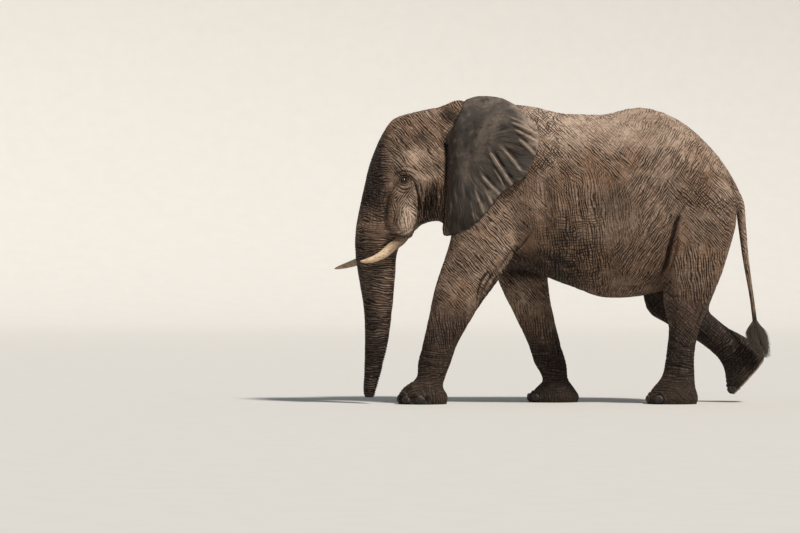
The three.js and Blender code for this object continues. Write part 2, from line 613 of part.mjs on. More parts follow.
// ---------------------------------------------------------------- the tail
function tailForm(form, sides, grow = 0) {
  return solid(loft(form, { sides, step: 160, grow }));
}

function tailParts() {
  const bone = tailForm(TAIL, 10).subtract(bodyForms(GAP));
  const cut = { from: -200, to: 200 };
  const upper = { ...cut, outline: [[1500, 1520], [2300, 1480], [2300, 2600], [1500, 2600]] };
  const lower = { ...cut, outline: [[1500, 500], [2300, 500], [2300, 1480], [1500, 1520]] };
  return [
    named("tail_upper", bone.intersect(block(upper)), skin),
    named("tail_lower", bone.intersect(block(lower, -GAP)), skin),
    named("tail_tuft", tailForm(TAIL_TUFT, 12).subtract(tailForm(TAIL, 10, GAP)), tailHair),
  ];
}

// ---------------------------------------------------------------- the whole elephant
const group = new THREE.Group();
group.name = "african_elephant";
group.add(
  ...partedFlesh(),
  ...tailParts(),
  named("ear_left", ear(LEFT), earSkin),
  named("ear_right", ear(RIGHT), earSkin),
  named("eye_left", eye(LEFT), eyeGloss),
  named("eye_right", eye(RIGHT), eyeGloss),
  named("tusk_left", tusk(LEFT_TUSK, LEFT), ivory),
  named("tusk_right", tusk(RIGHT_TUSK, RIGHT), ivory),
  ...nails.map(({ name, build }) => named(name, build(0), nailHorn)),
);

// Bring the drawn size to the shoulder height, and the middle of the box to the origin.
const size = SHOULDER_HEIGHT / DRAWN_SHOULDER_HEIGHT;
group.traverse((part) => part.geometry?.scale(size, size, size));
const box = new THREE.Box3().setFromObject(group);
const middle = box.getCenter(new THREE.Vector3());
group.traverse((part) => part.geometry?.translate(-middle.x, -middle.y, 0));

export default group;
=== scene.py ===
"""An adult male African bush elephant, walking, as a still, life-size museum model.

The flesh is drawn in cross-sections, in millimetres, in the same drawing as the solids of the part. The
sections are skinned, grown together into one closed hide, carved with folds and dressed. Eyes, tusks,
toenails, lashes and the hair of the tail are pieces of their own.
"""

from __future__ import annotations

import logging
import math
from collections.abc import Callable, Iterator, Sequence
from contextlib import contextmanager
from dataclasses import dataclass
from enum import Enum

import bpy
import numpy as np
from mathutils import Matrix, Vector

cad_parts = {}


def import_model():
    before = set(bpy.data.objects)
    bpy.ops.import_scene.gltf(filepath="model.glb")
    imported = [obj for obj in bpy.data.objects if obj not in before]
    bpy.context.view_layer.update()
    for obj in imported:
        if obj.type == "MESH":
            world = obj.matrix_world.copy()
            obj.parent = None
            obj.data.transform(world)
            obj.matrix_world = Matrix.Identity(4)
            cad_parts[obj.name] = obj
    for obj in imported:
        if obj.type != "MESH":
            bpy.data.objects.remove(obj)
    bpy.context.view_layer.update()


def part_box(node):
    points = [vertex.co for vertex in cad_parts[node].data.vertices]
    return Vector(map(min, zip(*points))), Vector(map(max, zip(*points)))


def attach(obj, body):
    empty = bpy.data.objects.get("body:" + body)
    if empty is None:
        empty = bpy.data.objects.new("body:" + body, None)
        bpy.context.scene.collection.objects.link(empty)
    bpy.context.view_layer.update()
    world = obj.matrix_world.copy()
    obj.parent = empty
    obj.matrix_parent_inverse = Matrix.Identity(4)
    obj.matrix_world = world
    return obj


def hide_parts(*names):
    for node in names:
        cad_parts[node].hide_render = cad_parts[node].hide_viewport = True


frozen = dataclass(frozen=True)
Array = np.ndarray
Piece = bpy.types.Object

LOG = logging.getLogger("elephant")
MM = 0.001
BODY = "root"


class Side(Enum):
    """The animal's own left and right; the left is at -Y."""

    LEFT = -1
    RIGHT = 1

    @property
    def word(self) -> str:
        """The side as it stands in names."""
        return self.name.lower()


BOTH = (Side.LEFT, Side.RIGHT)


# --- small numeric tools
def ramp(value: Array, low: float, high: float) -> Array:
    """A smooth step from 0 at low to 1 at high; low may be the larger.

    Args:
        value: Where the step is taken.
        low: Value at which the result leaves 0.
        high: Value at which the result reaches 1.

    Returns:
        The step, of the shape of value.
    """
    t = np.clip((value - low) / (high - low), 0.0, 1.0)
    return t * t * (3.0 - 2.0 * t)


def bell(value: Array, width: float) -> Array:
    """A bell curve of height 1 round 0 with the given half width."""
    return np.exp(-((value / width) ** 2))


def beside(*columns: Array) -> Array:
    """Columns of numbers as one table."""
    return np.stack(columns, axis=1)


def spot(points: Array, x: float, z: float, wide: float, tall: float) -> Array:
    """A soft spot in the side view: 1 in its middle, falling off over its half width and height."""
    return bell(points[:, 0] - x, wide) * bell(points[:, 2] - z, tall)


def most(*shares: Array) -> Array:
    """The largest of several shares at each point."""
    return np.maximum.reduce(shares)


def furrow(phase: Array, width: float = 0.2) -> Array:
    """Narrow valleys at the whole numbers of phase: 0 between them and -1 at their bottom."""
    away = np.abs(phase - np.round(phase))
    return -np.exp(-((away / width) ** 2))


@frozen
class Drift:
    """A slow, even wander through space, from a few waves of like length in all directions."""

    seed: int
    scale: float
    waves: int = 10

    def at(self, points: Array) -> Array:
        """The wander at each point.

        Args:
            points: Places, (n, 3).

        Returns:
            Numbers mostly between -1 and 1, (n,).
        """
        draw = np.random.default_rng(self.seed)
        heading = draw.normal(size=(self.waves, 3))
        heading /= np.linalg.norm(heading, axis=1)[:, None]
        length = self.scale * draw.uniform(0.7, 1.6, self.waves)
        start = draw.uniform(0, 2 * math.pi, self.waves)
        total = np.zeros(len(points))
        for way, wave, offset in zip(heading, length, start):
            total += np.sin(points @ (way * 2 * math.pi / wave) + offset)
        return total * math.sqrt(2.0 / self.waves) * 0.7


# --- the drawing and its frame
@frozen
class NeckTurn:
    """How the neck swings the head a little to the animal's left."""

    angle: float = math.radians(8)
    starts_x: float = -850.0
    length: float = 300.0

    def turn(self, points: Array) -> Array:
        """Turns the neck of a straight head.

        Args:
            points: Places on the straight head, (..., 3).

        Returns:
            The places on the turned head.
        """
        x, y, z = np.moveaxis(points, -1, 0)
        ahead = np.maximum(0.0, self.starts_x - x)
        share = np.minimum(1.0, ahead / self.length)
        swing = np.where(ahead < self.length, ahead**2 / (2 * self.length), ahead - self.length / 2)
        sine = math.sin(self.angle)
        return np.stack([x - y * sine * share, y - swing * sine, z], axis=-1)

    def straighten(self, points: Array) -> Array:
        """The inverse of turn, found in a few rounds."""
        straight = points.copy()
        for _ in range(6):
            straight += points - self.turn(straight)
        return straight


TURN = NeckTurn()


@frozen
class Drawing:
    """The drawn frame in millimetres and where it lies in the frame of the part."""

    shift: Array

    @classmethod
    def from_eye(cls, node: str, drawn: Sequence[float]) -> Drawing:
        """The drawing laid over the part by the middle of one eye.

        Args:
            node: The eye's node.
            drawn: Its middle on the straight head, in millimetres.

        Returns:
            The drawing, shifted to the part's frame.
        """
        low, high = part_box(node)
        middle = (np.array(low) + np.array(high)) / 2 / MM
        return cls(middle - TURN.turn(np.array([drawn], float))[0])

    def to_frame(self, points: Array) -> Array:
        """Drawn millimetres as metres in the part's frame."""
        return (points + self.shift) * MM

    def from_frame(self, points: Array) -> Array:
        """Metres in the part's frame as drawn millimetres."""
        return points / MM - self.shift


# --- mesh tools
def deselect() -> None:
    """Nothing selected and object mode on."""
    if bpy.context.mode != "OBJECT":
        bpy.ops.object.mode_set(mode="OBJECT")
    bpy.ops.object.select_all(action="DESELECT")


def pick(*objects: Piece) -> None:
    """Selects these objects only, and makes the first the active one."""
    deselect()
    for one in objects:
        one.select_set(True)
    bpy.context.view_layer.objects.active = objects[0]


@contextmanager
def editing(target: Piece) -> Iterator[None]:
    """Edit mode on one object."""
    pick(target)
    bpy.ops.object.mode_set(mode="EDIT")
    yield
    bpy.ops.object.mode_set(mode="OBJECT")


def read(items: bpy.types.bpy_prop_collection, key: str, wide: int = 1, kind: type = int) -> Array:
    """One property of all items of a mesh, (n, wide)."""
    flat = np.empty(len(items) * wide, kind)
    items.foreach_get(key, flat)
    return flat.reshape(-1, wide)


def points_of(target: Piece) -> Array:
    """The mesh's vertex places, (n, 3)."""
    return read(target.data.vertices, "co", 3, float)


def place_points(target: Piece, places: Array) -> None:
    """Moves the mesh's vertices to these places."""
    target.data.vertices.foreach_set("co", places.ravel())
    target.data.update()


def normals_of(target: Piece) -> Array:
    """The mesh's vertex normals, (n, 3)."""
    return read(target.data.vertex_normals, "vector", 3, float)


def modify(target: Piece, kind: str, **settings: object) -> None:
    """Adds one modifier and applies it.

    Args:
        target: The object.
        kind: The modifier's type.
        settings: Its values by name.
    """
    pick(target)
    modifier = target.modifiers.new("step", kind)
    for name, value in settings.items():
        setattr(modifier, name, value)
    bpy.ops.object.modifier_apply(modifier=modifier.name)


def joined(name: str, objects: Sequence[Piece]) -> Piece:
    """All these objects as one, under a new name."""
    pick(*objects)
    bpy.ops.object.join()
    whole = bpy.context.object
    whole.name = whole.data.name = name
    return whole


def tube(name: str, grid: Array) -> Piece:
    """A closed tube from a grid primitive whose corners take the places of the grid.

    Args:
        name: The new object's name.
        grid: Places as (rings, columns, 3), where the last column repeats the first.

    Returns:
        The tube with its seam merged, its ends closed and its faces pointing out.
    """
    rings, columns = grid.shape[:2]
    deselect()
    bpy.ops.mesh.primitive_grid_add(x_subdivisions=columns - 1, y_subdivisions=rings - 1)
    shape = bpy.context.object
    shape.name = shape.data.name = name
    place_points(shape, grid.reshape(-1, 3))
    with editing(shape):
        bpy.ops.mesh.select_all(action="SELECT")
        bpy.ops.mesh.remove_doubles(threshold=1e-6)
        bpy.ops.mesh.fill_holes(sides=0)
        bpy.ops.mesh.normals_make_consistent(inside=False)
    return shape


def ball(name: str, segments: int, rings: int) -> Piece:
    """A ball of radius 1 round the origin."""
    deselect()
    bpy.ops.mesh.primitive_uv_sphere_add(segments=segments, ring_count=rings)
    shape = bpy.context.object
    shape.name = shape.data.name = name
    return shape


def face_out(target: Piece) -> None:
    """Turns the faces of a closed mesh outwards."""
    with editing(target):
        bpy.ops.mesh.select_all(action="SELECT")
        bpy.ops.mesh.normals_make_consistent(inside=False)


def smooth_shaded(target: Piece) -> None:
    """Smooth shading on every face."""
    pick(target)
    bpy.ops.object.shade_smooth()


def paint(target: Piece, name: str, values: Array) -> None:
    """Keeps a number or a triple on each vertex, under a name that materials read."""
    kind, key = ("FLOAT", "value") if values.ndim == 1 else ("FLOAT_VECTOR", "vector")
    layer = target.data.attributes.new(name, kind, "POINT")
    layer.data.foreach_set(key, values.astype(np.float32).ravel())


def catmull_rom(rows: Array, counts: Sequence[int]) -> Array:
    """Smooth values between rows, with so many steps from each row to the next.

    Args:
        rows: Values to pass through, (n, k).
        counts: Steps of each of the n - 1 stretches.

    Returns:
        All rows with those between them.
    """
    padded = np.concatenate([rows[:1], rows, rows[-1:]])
    parts = []
    for i, count in enumerate(counts):
        a, b, c, d = padded[i : i + 4]
        t = np.linspace(0, 1, count, endpoint=False)[:, None]
        run_in = (t**3 - 2 * t**2 + t) * (c - a) / 2
        run_out = (t**3 - t**2) * (d - b) / 2
        parts.append((2 * t**3 - 3 * t**2 + 1) * b + run_in + (3 * t**2 - 2 * t**3) * c + run_out)
    return np.concatenate([*parts, rows[-1:]])


def ways_along(path: Array) -> Array:
    """How far along a path each of its points lies."""
    return np.concatenate([[0], np.cumsum(np.linalg.norm(np.diff(path, axis=0), axis=1))])


def tilted(dx: Array, dz: Array, turn: float) -> tuple[Array, Array]:
    """Offsets along and square to a line turned by an angle in the side view."""
    sine, cosine = math.sin(turn), math.cos(turn)
    return dx * cosine + dz * sine, dz * cosine - dx * sine


# --- forms in slices
@frozen
class Slice:
    """One cross-section of a form, in drawn millimetres.

    `fore` and `aft` are its two ends in the side view, (x, z). `half` is its half width and `y` the
    distance of its middle from the midline. `wide` places its widest point, from -1 at the aft end to 1
    at the fore end. The boxes say how square its two ends are; 2 is an ellipse.
    """

    at: str
    fore: tuple[float, float]
    aft: tuple[float, float]
    half: float
    y: float = 0
    wide: float = 0
    fore_box: float = 2
    aft_box: float = 2

    def row(self) -> list[float]:
        """The slice as plain numbers."""
        return [*self.fore, *self.aft, self.half, self.y, self.wide, self.fore_box, self.aft_box]


class Form:
    """A body part drawn as slices from one end to the other."""

    def __init__(
        self, name: str, *slices: Slice, sides: int = 72, step: float = 16.0, turns: bool = False
    ) -> None:
        """A form, the corners of its rings, the step between them and whether the neck turns it."""
        self.name, self.slices, self.sides, self.step, self.turns = name, slices, sides, step, turns

    def rings(self) -> Array:
        """All slices of the form, the drawn ones and those between."""
        rows = np.array([one.row() for one in self.slices], float)
        ways = np.hypot(np.diff(rows[:, 0]), np.diff(rows[:, 1]))
        ways = (ways + np.hypot(np.diff(rows[:, 2]), np.diff(rows[:, 3]))) / 2
        return catmull_rom(rows, [max(1, round(way / self.step)) for way in ways])

    def grid(self, side: Side = Side.RIGHT) -> Array:
        """The form's surface in the drawing.

        Args:
            side: The side of the body that it lies on.

        Returns:
            Places as (rings, sides + 1, 3).
        """
        fx, fz, ax, az, half, y, wide, fore_box, aft_box = self.rings().T[:, :, None]
        length = np.hypot(fx - ax, fz - az)
        way_x, way_z = (fx - ax) / length, (fz - az) / length
        angle = np.linspace(0, 2 * math.pi, self.sides + 1)[None, :]
        cosine, sine = np.cos(angle), np.sin(angle)
        cosine, sine = np.where(abs(cosine) < 1e-9, 0, cosine), np.where(abs(sine) < 1e-9, 0, sine)
        box = np.where(cosine > 0, fore_box, aft_box)
        reach = length / 2 * np.where(cosine > 0, 1 - wide, 1 + wide)
        out = reach * np.sign(cosine) * np.abs(cosine) ** (2 / box) + wide * length / 2
        across = side.value * y + half * np.sign(sine) * np.abs(sine) ** (2 / box)
        places = [(fx + ax) / 2 + way_x * out, across, (fz + az) / 2 + way_z * out]
        grid = np.stack(places, axis=2)
        return TURN.turn(grid) if self.turns else grid

    def middle_x(self, z: Array) -> Array:
        """The x of the form's middle line at each height."""
        rows = self.rings()
        heights, middles = (rows[:, 1] + rows[:, 3]) / 2, (rows[:, 0] + rows[:, 2]) / 2
        order = np.argsort(heights)
        return np.interp(z, heights[order], middles[order])


BARREL = Form(
    "barrel",
    Slice("breast", (-1060, 2500), (-1090, 1800), 170),
    Slice("point of shoulder", (-960, 2900), (-1010, 1560), 350, wide=-0.1),
    Slice("withers", (-680, 3120), (-760, 1410), 480, wide=-0.1, fore_box=1.9),
    Slice("girth", (-330, 3115), (-400, 1400), 590, wide=-0.1, fore_box=1.9),
    Slice("ribs", (50, 3030), (40, 1255), 670, wide=-0.1, fore_box=1.95),
    Slice("belly", (450, 3022), (440, 1115), 715, wide=-0.12),
    Slice("loin", (850, 3090), (800, 1118), 700, wide=-0.08),
    Slice("hips", (1180, 2995), (1090, 1190), 640, wide=0.1),
    Slice("croup", (1480, 2780), (1350, 1330), 550, wide=0.2),
    Slice("rump", (1720, 2510), (1600, 1540), 420, wide=0.2),
    Slice("dock", (1860, 2270), (1770, 1780), 240, wide=0.1),
    Slice("seat", (1900, 2140), (1840, 1950), 90),
    sides=128,
)

NECK = Form(
    "neck",
    Slice("poll", (-1420, 3040), (-1400, 1980), 260),
    Slice("behind the jaw", (-1180, 3142), (-1230, 1880), 300),
    Slice("middle", (-950, 3160), (-1080, 1740), 350),
    Slice("base", (-650, 3120), (-860, 1600), 430),
    turns=True,
)

# One column from the crown down the face, whose lower part runs on as the trunk.
FACE = Form(
    "face",
    Slice("crown", (-1590, 3036), (-1330, 3098), 80),
    Slice("dome", (-1752, 2970), (-1180, 3075), 210, fore_box=2.2),
    Slice("forehead", (-1858, 2830), (-1080, 2900), 295, fore_box=2.4, wide=-0.1),
    Slice("temple", (-1943, 2640), (-1060, 2660), 335, fore_box=2.4, wide=-0.15),
    Slice("brow", (-2014, 2440), (-1080, 2440), 365, fore_box=2.3, wide=-0.1),
    Slice("cheekbone", (-2064, 2220), (-1210, 2230), 352, fore_box=2.1, wide=-0.2),
    Slice("cheek", (-2104, 2050), (-1400, 2050), 318, wide=-0.3),
    Slice("upper lip", (-2138, 1850), (-1535, 1870), 285, wide=-0.3),
    Slice("lip edge", (-2150, 1690), (-1640, 1725), 235, wide=-0.2),
    Slice("trunk root", (-2143, 1540), (-1718, 1560), 198, aft_box=2.5, wide=-0.1),
    Slice("upper trunk", (-2112, 1330), (-1735, 1330), 178, aft_box=2.6, wide=-0.1),
    Slice("middle trunk", (-2060, 1000), (-1765, 1000), 145, aft_box=2.6, wide=-0.1),
    Slice("lower trunk", (-2046, 650), (-1810, 650), 115, aft_box=2.6, wide=-0.1),
    Slice("above the tip", (-2056, 330), (-1880, 330), 84, aft_box=2.4),
    Slice("tip", (-2063, 130), (-1935, 130), 64),
    Slice("finger", (-2045, 62), (-1950, 66), 48),
    sides=96,
    turns=True,
)

JAW = Form(
    "jaw",
    Slice("throat", (-1180, 2350), (-1230, 1905), 245),
    Slice("jaw angle", (-1340, 2300), (-1350, 1902), 262),
    Slice("jaw", (-1450, 2150), (-1450, 1868), 185),
    Slice("lower lip", (-1535, 1990), (-1510, 1818), 100),
    Slice("lip tip", (-1575, 1880), (-1555, 1800), 45),
    turns=True,
)

# The bulge that holds a tusk's root, from the cheekbone to the lip.
TUSK_SHEATH = Form(
    "tusk_sheath",
    Slice("cheekbone", (-1740, 2290), (-1470, 2270), 90, 225),
    Slice("sheath", (-1800, 2010), (-1515, 1960), 118, 225),
    Slice("lip", (-1822, 1790), (-1580, 1755), 105, 235),
    Slice("lip rim", (-1800, 1748), (-1640, 1722), 76, 240),
    turns=True,
)

# The bony ridge above the eye, which runs back to the ear.
BROW = Form(
    "brow",
    Slice("front", (-1850, 2500), (-1845, 2410), 24, 250),
    Slice("above the eye", (-1715, 2520), (-1700, 2380), 46, 322),
    Slice("cheekbone arch", (-1500, 2440), (-1500, 2230), 46, 330),
    Slice("ear", (-1270, 2420), (-1270, 2230), 50, 290),
    turns=True,
)

EAR_ROOT = Form(
    "ear_root",
    Slice("top", (-1195, 2880), (-1110, 2880), 40, 285),
    Slice("upper", (-1200, 2650), (-1050, 2650), 62, 310),
    Slice("ear hole", (-1205, 2350), (-1050, 2350), 62, 315),
    Slice("bottom", (-1205, 2020), (-1120, 2020), 44, 290),
    sides=48,
)

SHOULDER_BLADE = Slice("shoulder blade", (-850, 2780), (-500, 2700), 60, 290)
HIP = Slice("hip", (1050, 2650), (1540, 2560), 70, 320)

LEFT_FORELEG = Form(
    "foreleg_left",
    SHOULDER_BLADE,
    Slice("shoulder", (-1015, 2343), (-429, 2244), 150, 385),
    Slice("upper arm", (-1104, 1946), (-410, 1847), 190, 375),
    Slice("armpit", (-1191, 1598), (-509, 1539), 200, 365),
    Slice("elbow", (-1303, 1251), (-690, 1241), 190, 350),
    Slice("forearm", (-1369, 953), (-903, 943), 172, 330),
    Slice("above the wrist", (-1440, 646), (-1069, 646), 155, 312),
    Slice("wrist", (-1491, 437), (-1149, 437), 150, 303),
    Slice("pastern", (-1503, 278), (-1217, 271), 150, 300),
    Slice("instep", (-1628, 179), (-1233, 174), 184, 300),
    Slice("foot", (-1700, 90), (-1187, 90), 222, 300),
    Slice("sole", (-1704, 0), (-1184, 0), 220, 300),
)

RIGHT_FORELEG = Form(
    "foreleg_right",
    SHOULDER_BLADE,
    Slice("shoulder", (-924, 2357), (-330, 2256), 150, 385),
    Slice("upper arm", (-844, 1954), (-199, 1853), 190, 375),
    Slice("armpit", (-745, 1602), (-139, 1541), 200, 365),
    Slice("elbow", (-632, 1269), (-106, 1239), 190, 350),
    Slice("forearm", (-491, 967), (-62, 947), 172, 330),
    Slice("above the wrist", (-337, 644), (15, 634), 155, 312),
    Slice("wrist", (-261, 423), (80, 413), 150, 303),
    Slice("pastern", (-169, 246), (95, 253), 148, 300),
    Slice("instep", (-229, 163), (154, 156), 182, 300),
    Slice("foot", (-324, 68), (210, 70), 222, 300),
    Slice("sole", (-326, 0), (210, 0), 220, 300),
)

LEFT_HIND_LEG = Form(
    "hind_leg_left",
    HIP,
    Slice("haunch", (1012, 2294), (1762, 2234), 205, 350),
    Slice("buttock", (1076, 1946), (1828, 1926), 255, 330),
    Slice("thigh", (1096, 1619), (1740, 1589), 262, 325),
    Slice("lower thigh", (1066, 1321), (1645, 1281), 232, 315),
    Slice("knee", (1069, 1062), (1540, 1023), 192, 305),
    Slice("shank", (1116, 784), (1439, 784), 160, 290),
    Slice("lower shank", (1097, 526), (1394, 526), 148, 278),
    Slice("ankle", (1063, 307), (1390, 307), 150, 270),
    Slice("instep", (967, 180), (1402, 173), 176, 268),
    Slice("foot", (895, 87), (1425, 89), 204, 268),
    Slice("sole", (887, 0), (1429, 0), 202, 268),
)

RIGHT_HIND_LEG = Form(
    "hind_leg_right",
    HIP,
    Slice("haunch", (978, 2306), (1809, 2246), 205, 350),
    Slice("buttock", (923, 1954), (1839, 1883), 255, 330),
    Slice("thigh", (890, 1601), (1728, 1501), 255, 325),
    Slice("lower thigh", (879, 1269), (1628, 1178), 225, 315),
    Slice("knee", (940, 972), (1592, 1002), 190, 300),
    Slice("below the knee", (1149, 831), (1592, 962), 170, 295),
    Slice("shank", (1446, 655), (1635, 912), 150, 288),
    Slice("lower shank", (1623, 529), (1779, 791), 142, 282),
    Slice("ankle", (1718, 418), (1950, 700), 150, 278),
    Slice("instep", (1758, 305), (2092, 607), 174, 275),
    Slice("foot", (1776, 164), (2154, 514), 200, 275),
    Slice("sole", (1846, 75), (2169, 445), 192, 275),
)

TAIL = Form(
    "tail",
    Slice("root", (1800, 2330), (1780, 2180), 60),
    Slice("dock", (1925, 2130), (1835, 2090), 56),
    Slice("upper tail", (1955, 1850), (1872, 1845), 40),
    Slice("middle tail", (1985, 1500), (1922, 1490), 30),
    Slice("lower tail", (2035, 1120), (1990, 1115), 22),
    Slice("end of the bone", (2080, 790), (2030, 785), 20),
    sides=28,
    step=14.0,
)

LEGS = (
    (LEFT_FORELEG, Side.LEFT),
    (RIGHT_FORELEG, Side.RIGHT),
    (LEFT_HIND_LEG, Side.LEFT),
    (RIGHT_HIND_LEG, Side.RIGHT),
)


# --- carving tools
@frozen
class Track:
    """A smooth curve in the side view, in drawn millimetres."""

    path: Sequence[tuple[float, float]]

    def near(self, flat: Array, reach: float) -> tuple[Array, Array, Array]:
        """The points close to the track.

        Args:
            flat: Places in the side view, (n, 2).
            reach: How far round the track's box to look.

        Returns:
            The numbers of those points, how far they lie to the left of the track (to its right where
            negative) and how far along it, 0 to 1.
        """
        curve = catmull_rom(np.array(self.path, float), [6] * (len(self.path) - 1))
        low, high = curve.min(axis=0) - reach, curve.max(axis=0) + reach
        found = np.flatnonzero(np.all((flat > low) & (flat < high), axis=1))
        best, where = np.full(len(found), 1e9), np.zeros(len(found))
        for i, (start, end) in enumerate(zip(curve, curve[1:])):
            way, offset = end - start, flat[found] - start
            t = np.clip(offset @ way / (way @ way), 0, 1)
            away = np.linalg.norm(offset - t[:, None] * way, axis=1)
            away = np.where(way[0] * offset[:, 1] < way[1] * offset[:, 0], -away, away)
            closer = np.abs(away) < np.abs(best)
            best[closer] = away[closer]
            where[closer] = (i + t[closer]) / (len(curve) - 1)
        return found, best, where


@frozen
class Relief:
    """The hide's points, on the straight head, and their normals."""

    points: Array
    normals: Array

    def facing(self, side: Side) -> Array:
        """How far each point lies on one side and faces it, 0 to 1."""
        return ramp(side.value * self.normals[:, 1], 0.05, 0.4) * (side.value * self.points[:, 1] > 0)


@frozen
class Swell:
    """A raised place of the hide, or a hollow where its rise is negative, seen from the side."""

    at: str
    x: float
    z: float
    wide: float
    tall: float
    rise: float
    tilt: float = 0.0
    sides: tuple[Side, ...] = BOTH

    def lift(self, hide: Relief) -> Array:
        """How far the tool moves each point outwards, in millimetres."""
        dx, dz = hide.points[:, 0] - self.x, hide.points[:, 2] - self.z
        along, up = tilted(dx, dz, math.radians(self.tilt))
        shape = self.rise * np.exp(-((along / self.wide) ** 2) - (up / self.tall) ** 2)
        return shape * sum(hide.facing(side) for side in self.sides)


@frozen
class Crease:
    """A fold pressed into the hide along a curve in the side view, fading at both ends."""

    at: str
    path: Sequence[tuple[float, float]]
    width: float
    depth: float
    sides: tuple[Side, ...]

    def lift(self, hide: Relief) -> Array:
        """How far the tool moves each point outwards, in millimetres."""
        lift = np.zeros(len(hide.points))
        found, away, along = Track(self.path).near(hide.points[:, [0, 2]], 4 * self.width)
        fade = np.clip(np.sin(math.pi * along), 0, 1) ** 0.8
        press = -bell(away, self.width) + 0.3 * bell(np.abs(away) - 2.2 * self.width, self.width)
        lift[found] = self.depth * fade * press
        return lift * sum(hide.facing(side) for side in self.sides)


LEFT_ONLY, RIGHT_ONLY = (Side.LEFT,), (Side.RIGHT,)


def swells(rows: dict[str, tuple[float, ...]], sides: tuple[Side, ...] = BOTH) -> tuple[Swell, ...]:
    """Swells from rows of x, z, half width, half height, rise and, where it has one, tilt."""
    return tuple(Swell(at, *row, sides=sides) for at, row in rows.items())


def creases(groups: dict[str, tuple[tuple, ...]], sides: tuple[Side, ...] = BOTH) -> tuple[Crease, ...]:
    """Creases from rows of a width, a depth and the points of the path, grouped by their place."""
    return tuple(Crease(at, path, width, depth, sides) for at in groups for width, depth, *path in groups[at])


HEAD_SWELLS = {
    "temple hollow": (-1560, 2580, 120, 125, -30, -20),
    "ridge before the temple": (-1715, 2600, 46, 130, 10, -14),
    "nape": (-1085, 3140, 100, 80, 34),
    "forehead side": (-1780, 2780, 80, 130, 8),
    "crown bump": (-1490, 3000, 120, 60, 14),
    "hollow under the crown": (-1400, 2870, 110, 90, -14),
    "brow over the eye": (-1700, 2418, 80, 24, 15, 8),
    "cheekbone": (-1470, 2345, 130, 44, 15, -8),
    "bag under the eye": (-1672, 2258, 66, 26, 12),
    "hollow before the eye": (-1800, 2340, 42, 90, -16),
    "hollow behind the eye": (-1548, 2250, 36, 80, -12),
    "hollow behind the cheek": (-1400, 2090, 95, 190, -30),
    "tusk root": (-1690, 1960, 110, 190, 18, 12),
    "groove beside the trunk root": (-1868, 1960, 34, 230, -24, -3),
    "hollow by the ear's top": (-1232, 3010, 70, 80, -34),
    "ear muscle": (-1300, 2520, 46, 190, 12),
    "gap before the ear": (-1222, 2330, 30, 420, -34),
}

BODY_SWELLS = {
    "shoulder blade": (-700, 2330, 170, 420, 16, -14),
    "ridge of the blade": (-640, 2450, 46, 330, 14, -16),
    "upper arm": (-860, 1880, 160, 200, 14, 20),
    "hollow behind the shoulder": (-200, 2200, 140, 400, -28, 8),
    "hollow above the web": (-400, 1770, 70, 110, -16, -40),
    "rib side": (300, 2150, 600, 420, 8),
    "hip bone": (1130, 2720, 150, 110, 26, -30),
    "hollow before the hip": (880, 2560, 170, 170, -26),
    "hollow flank": (880, 1960, 170, 280, -18, 20),
    "fold of the flank": (1030, 1600, 56, 280, 26, -12),
    "front of the thigh": (1210, 1620, 60, 300, 16, -10),
    "haunch": (1480, 2120, 260, 300, 14),
    "seat bone": (1720, 2230, 90, 110, 14),
}

LEFT_LEG_SWELLS = {
    "elbow": (-760, 1420, 80, 90, 16),
    "forearm": (-1180, 1080, 110, 210, 12, 14),
    "wrist": (-1330, 500, 110, 80, 10),
    "knee": (1180, 1080, 80, 110, 14),
    "shank hollow": (1440, 860, 60, 160, -14),
    "thigh": (1360, 1660, 130, 280, 14),
}

RIGHT_LEG_SWELLS = {
    "elbow": (-210, 1400, 70, 90, 14),
    "forearm": (-320, 1080, 110, 210, 12, -20),
    "wrist": (-100, 480, 110, 80, 10),
    "knee": (1010, 1010, 80, 100, 14),
    "thigh": (1330, 1620, 150, 280, 14),
    "heel cord": (1640, 760, 90, 50, -12, -40),
}

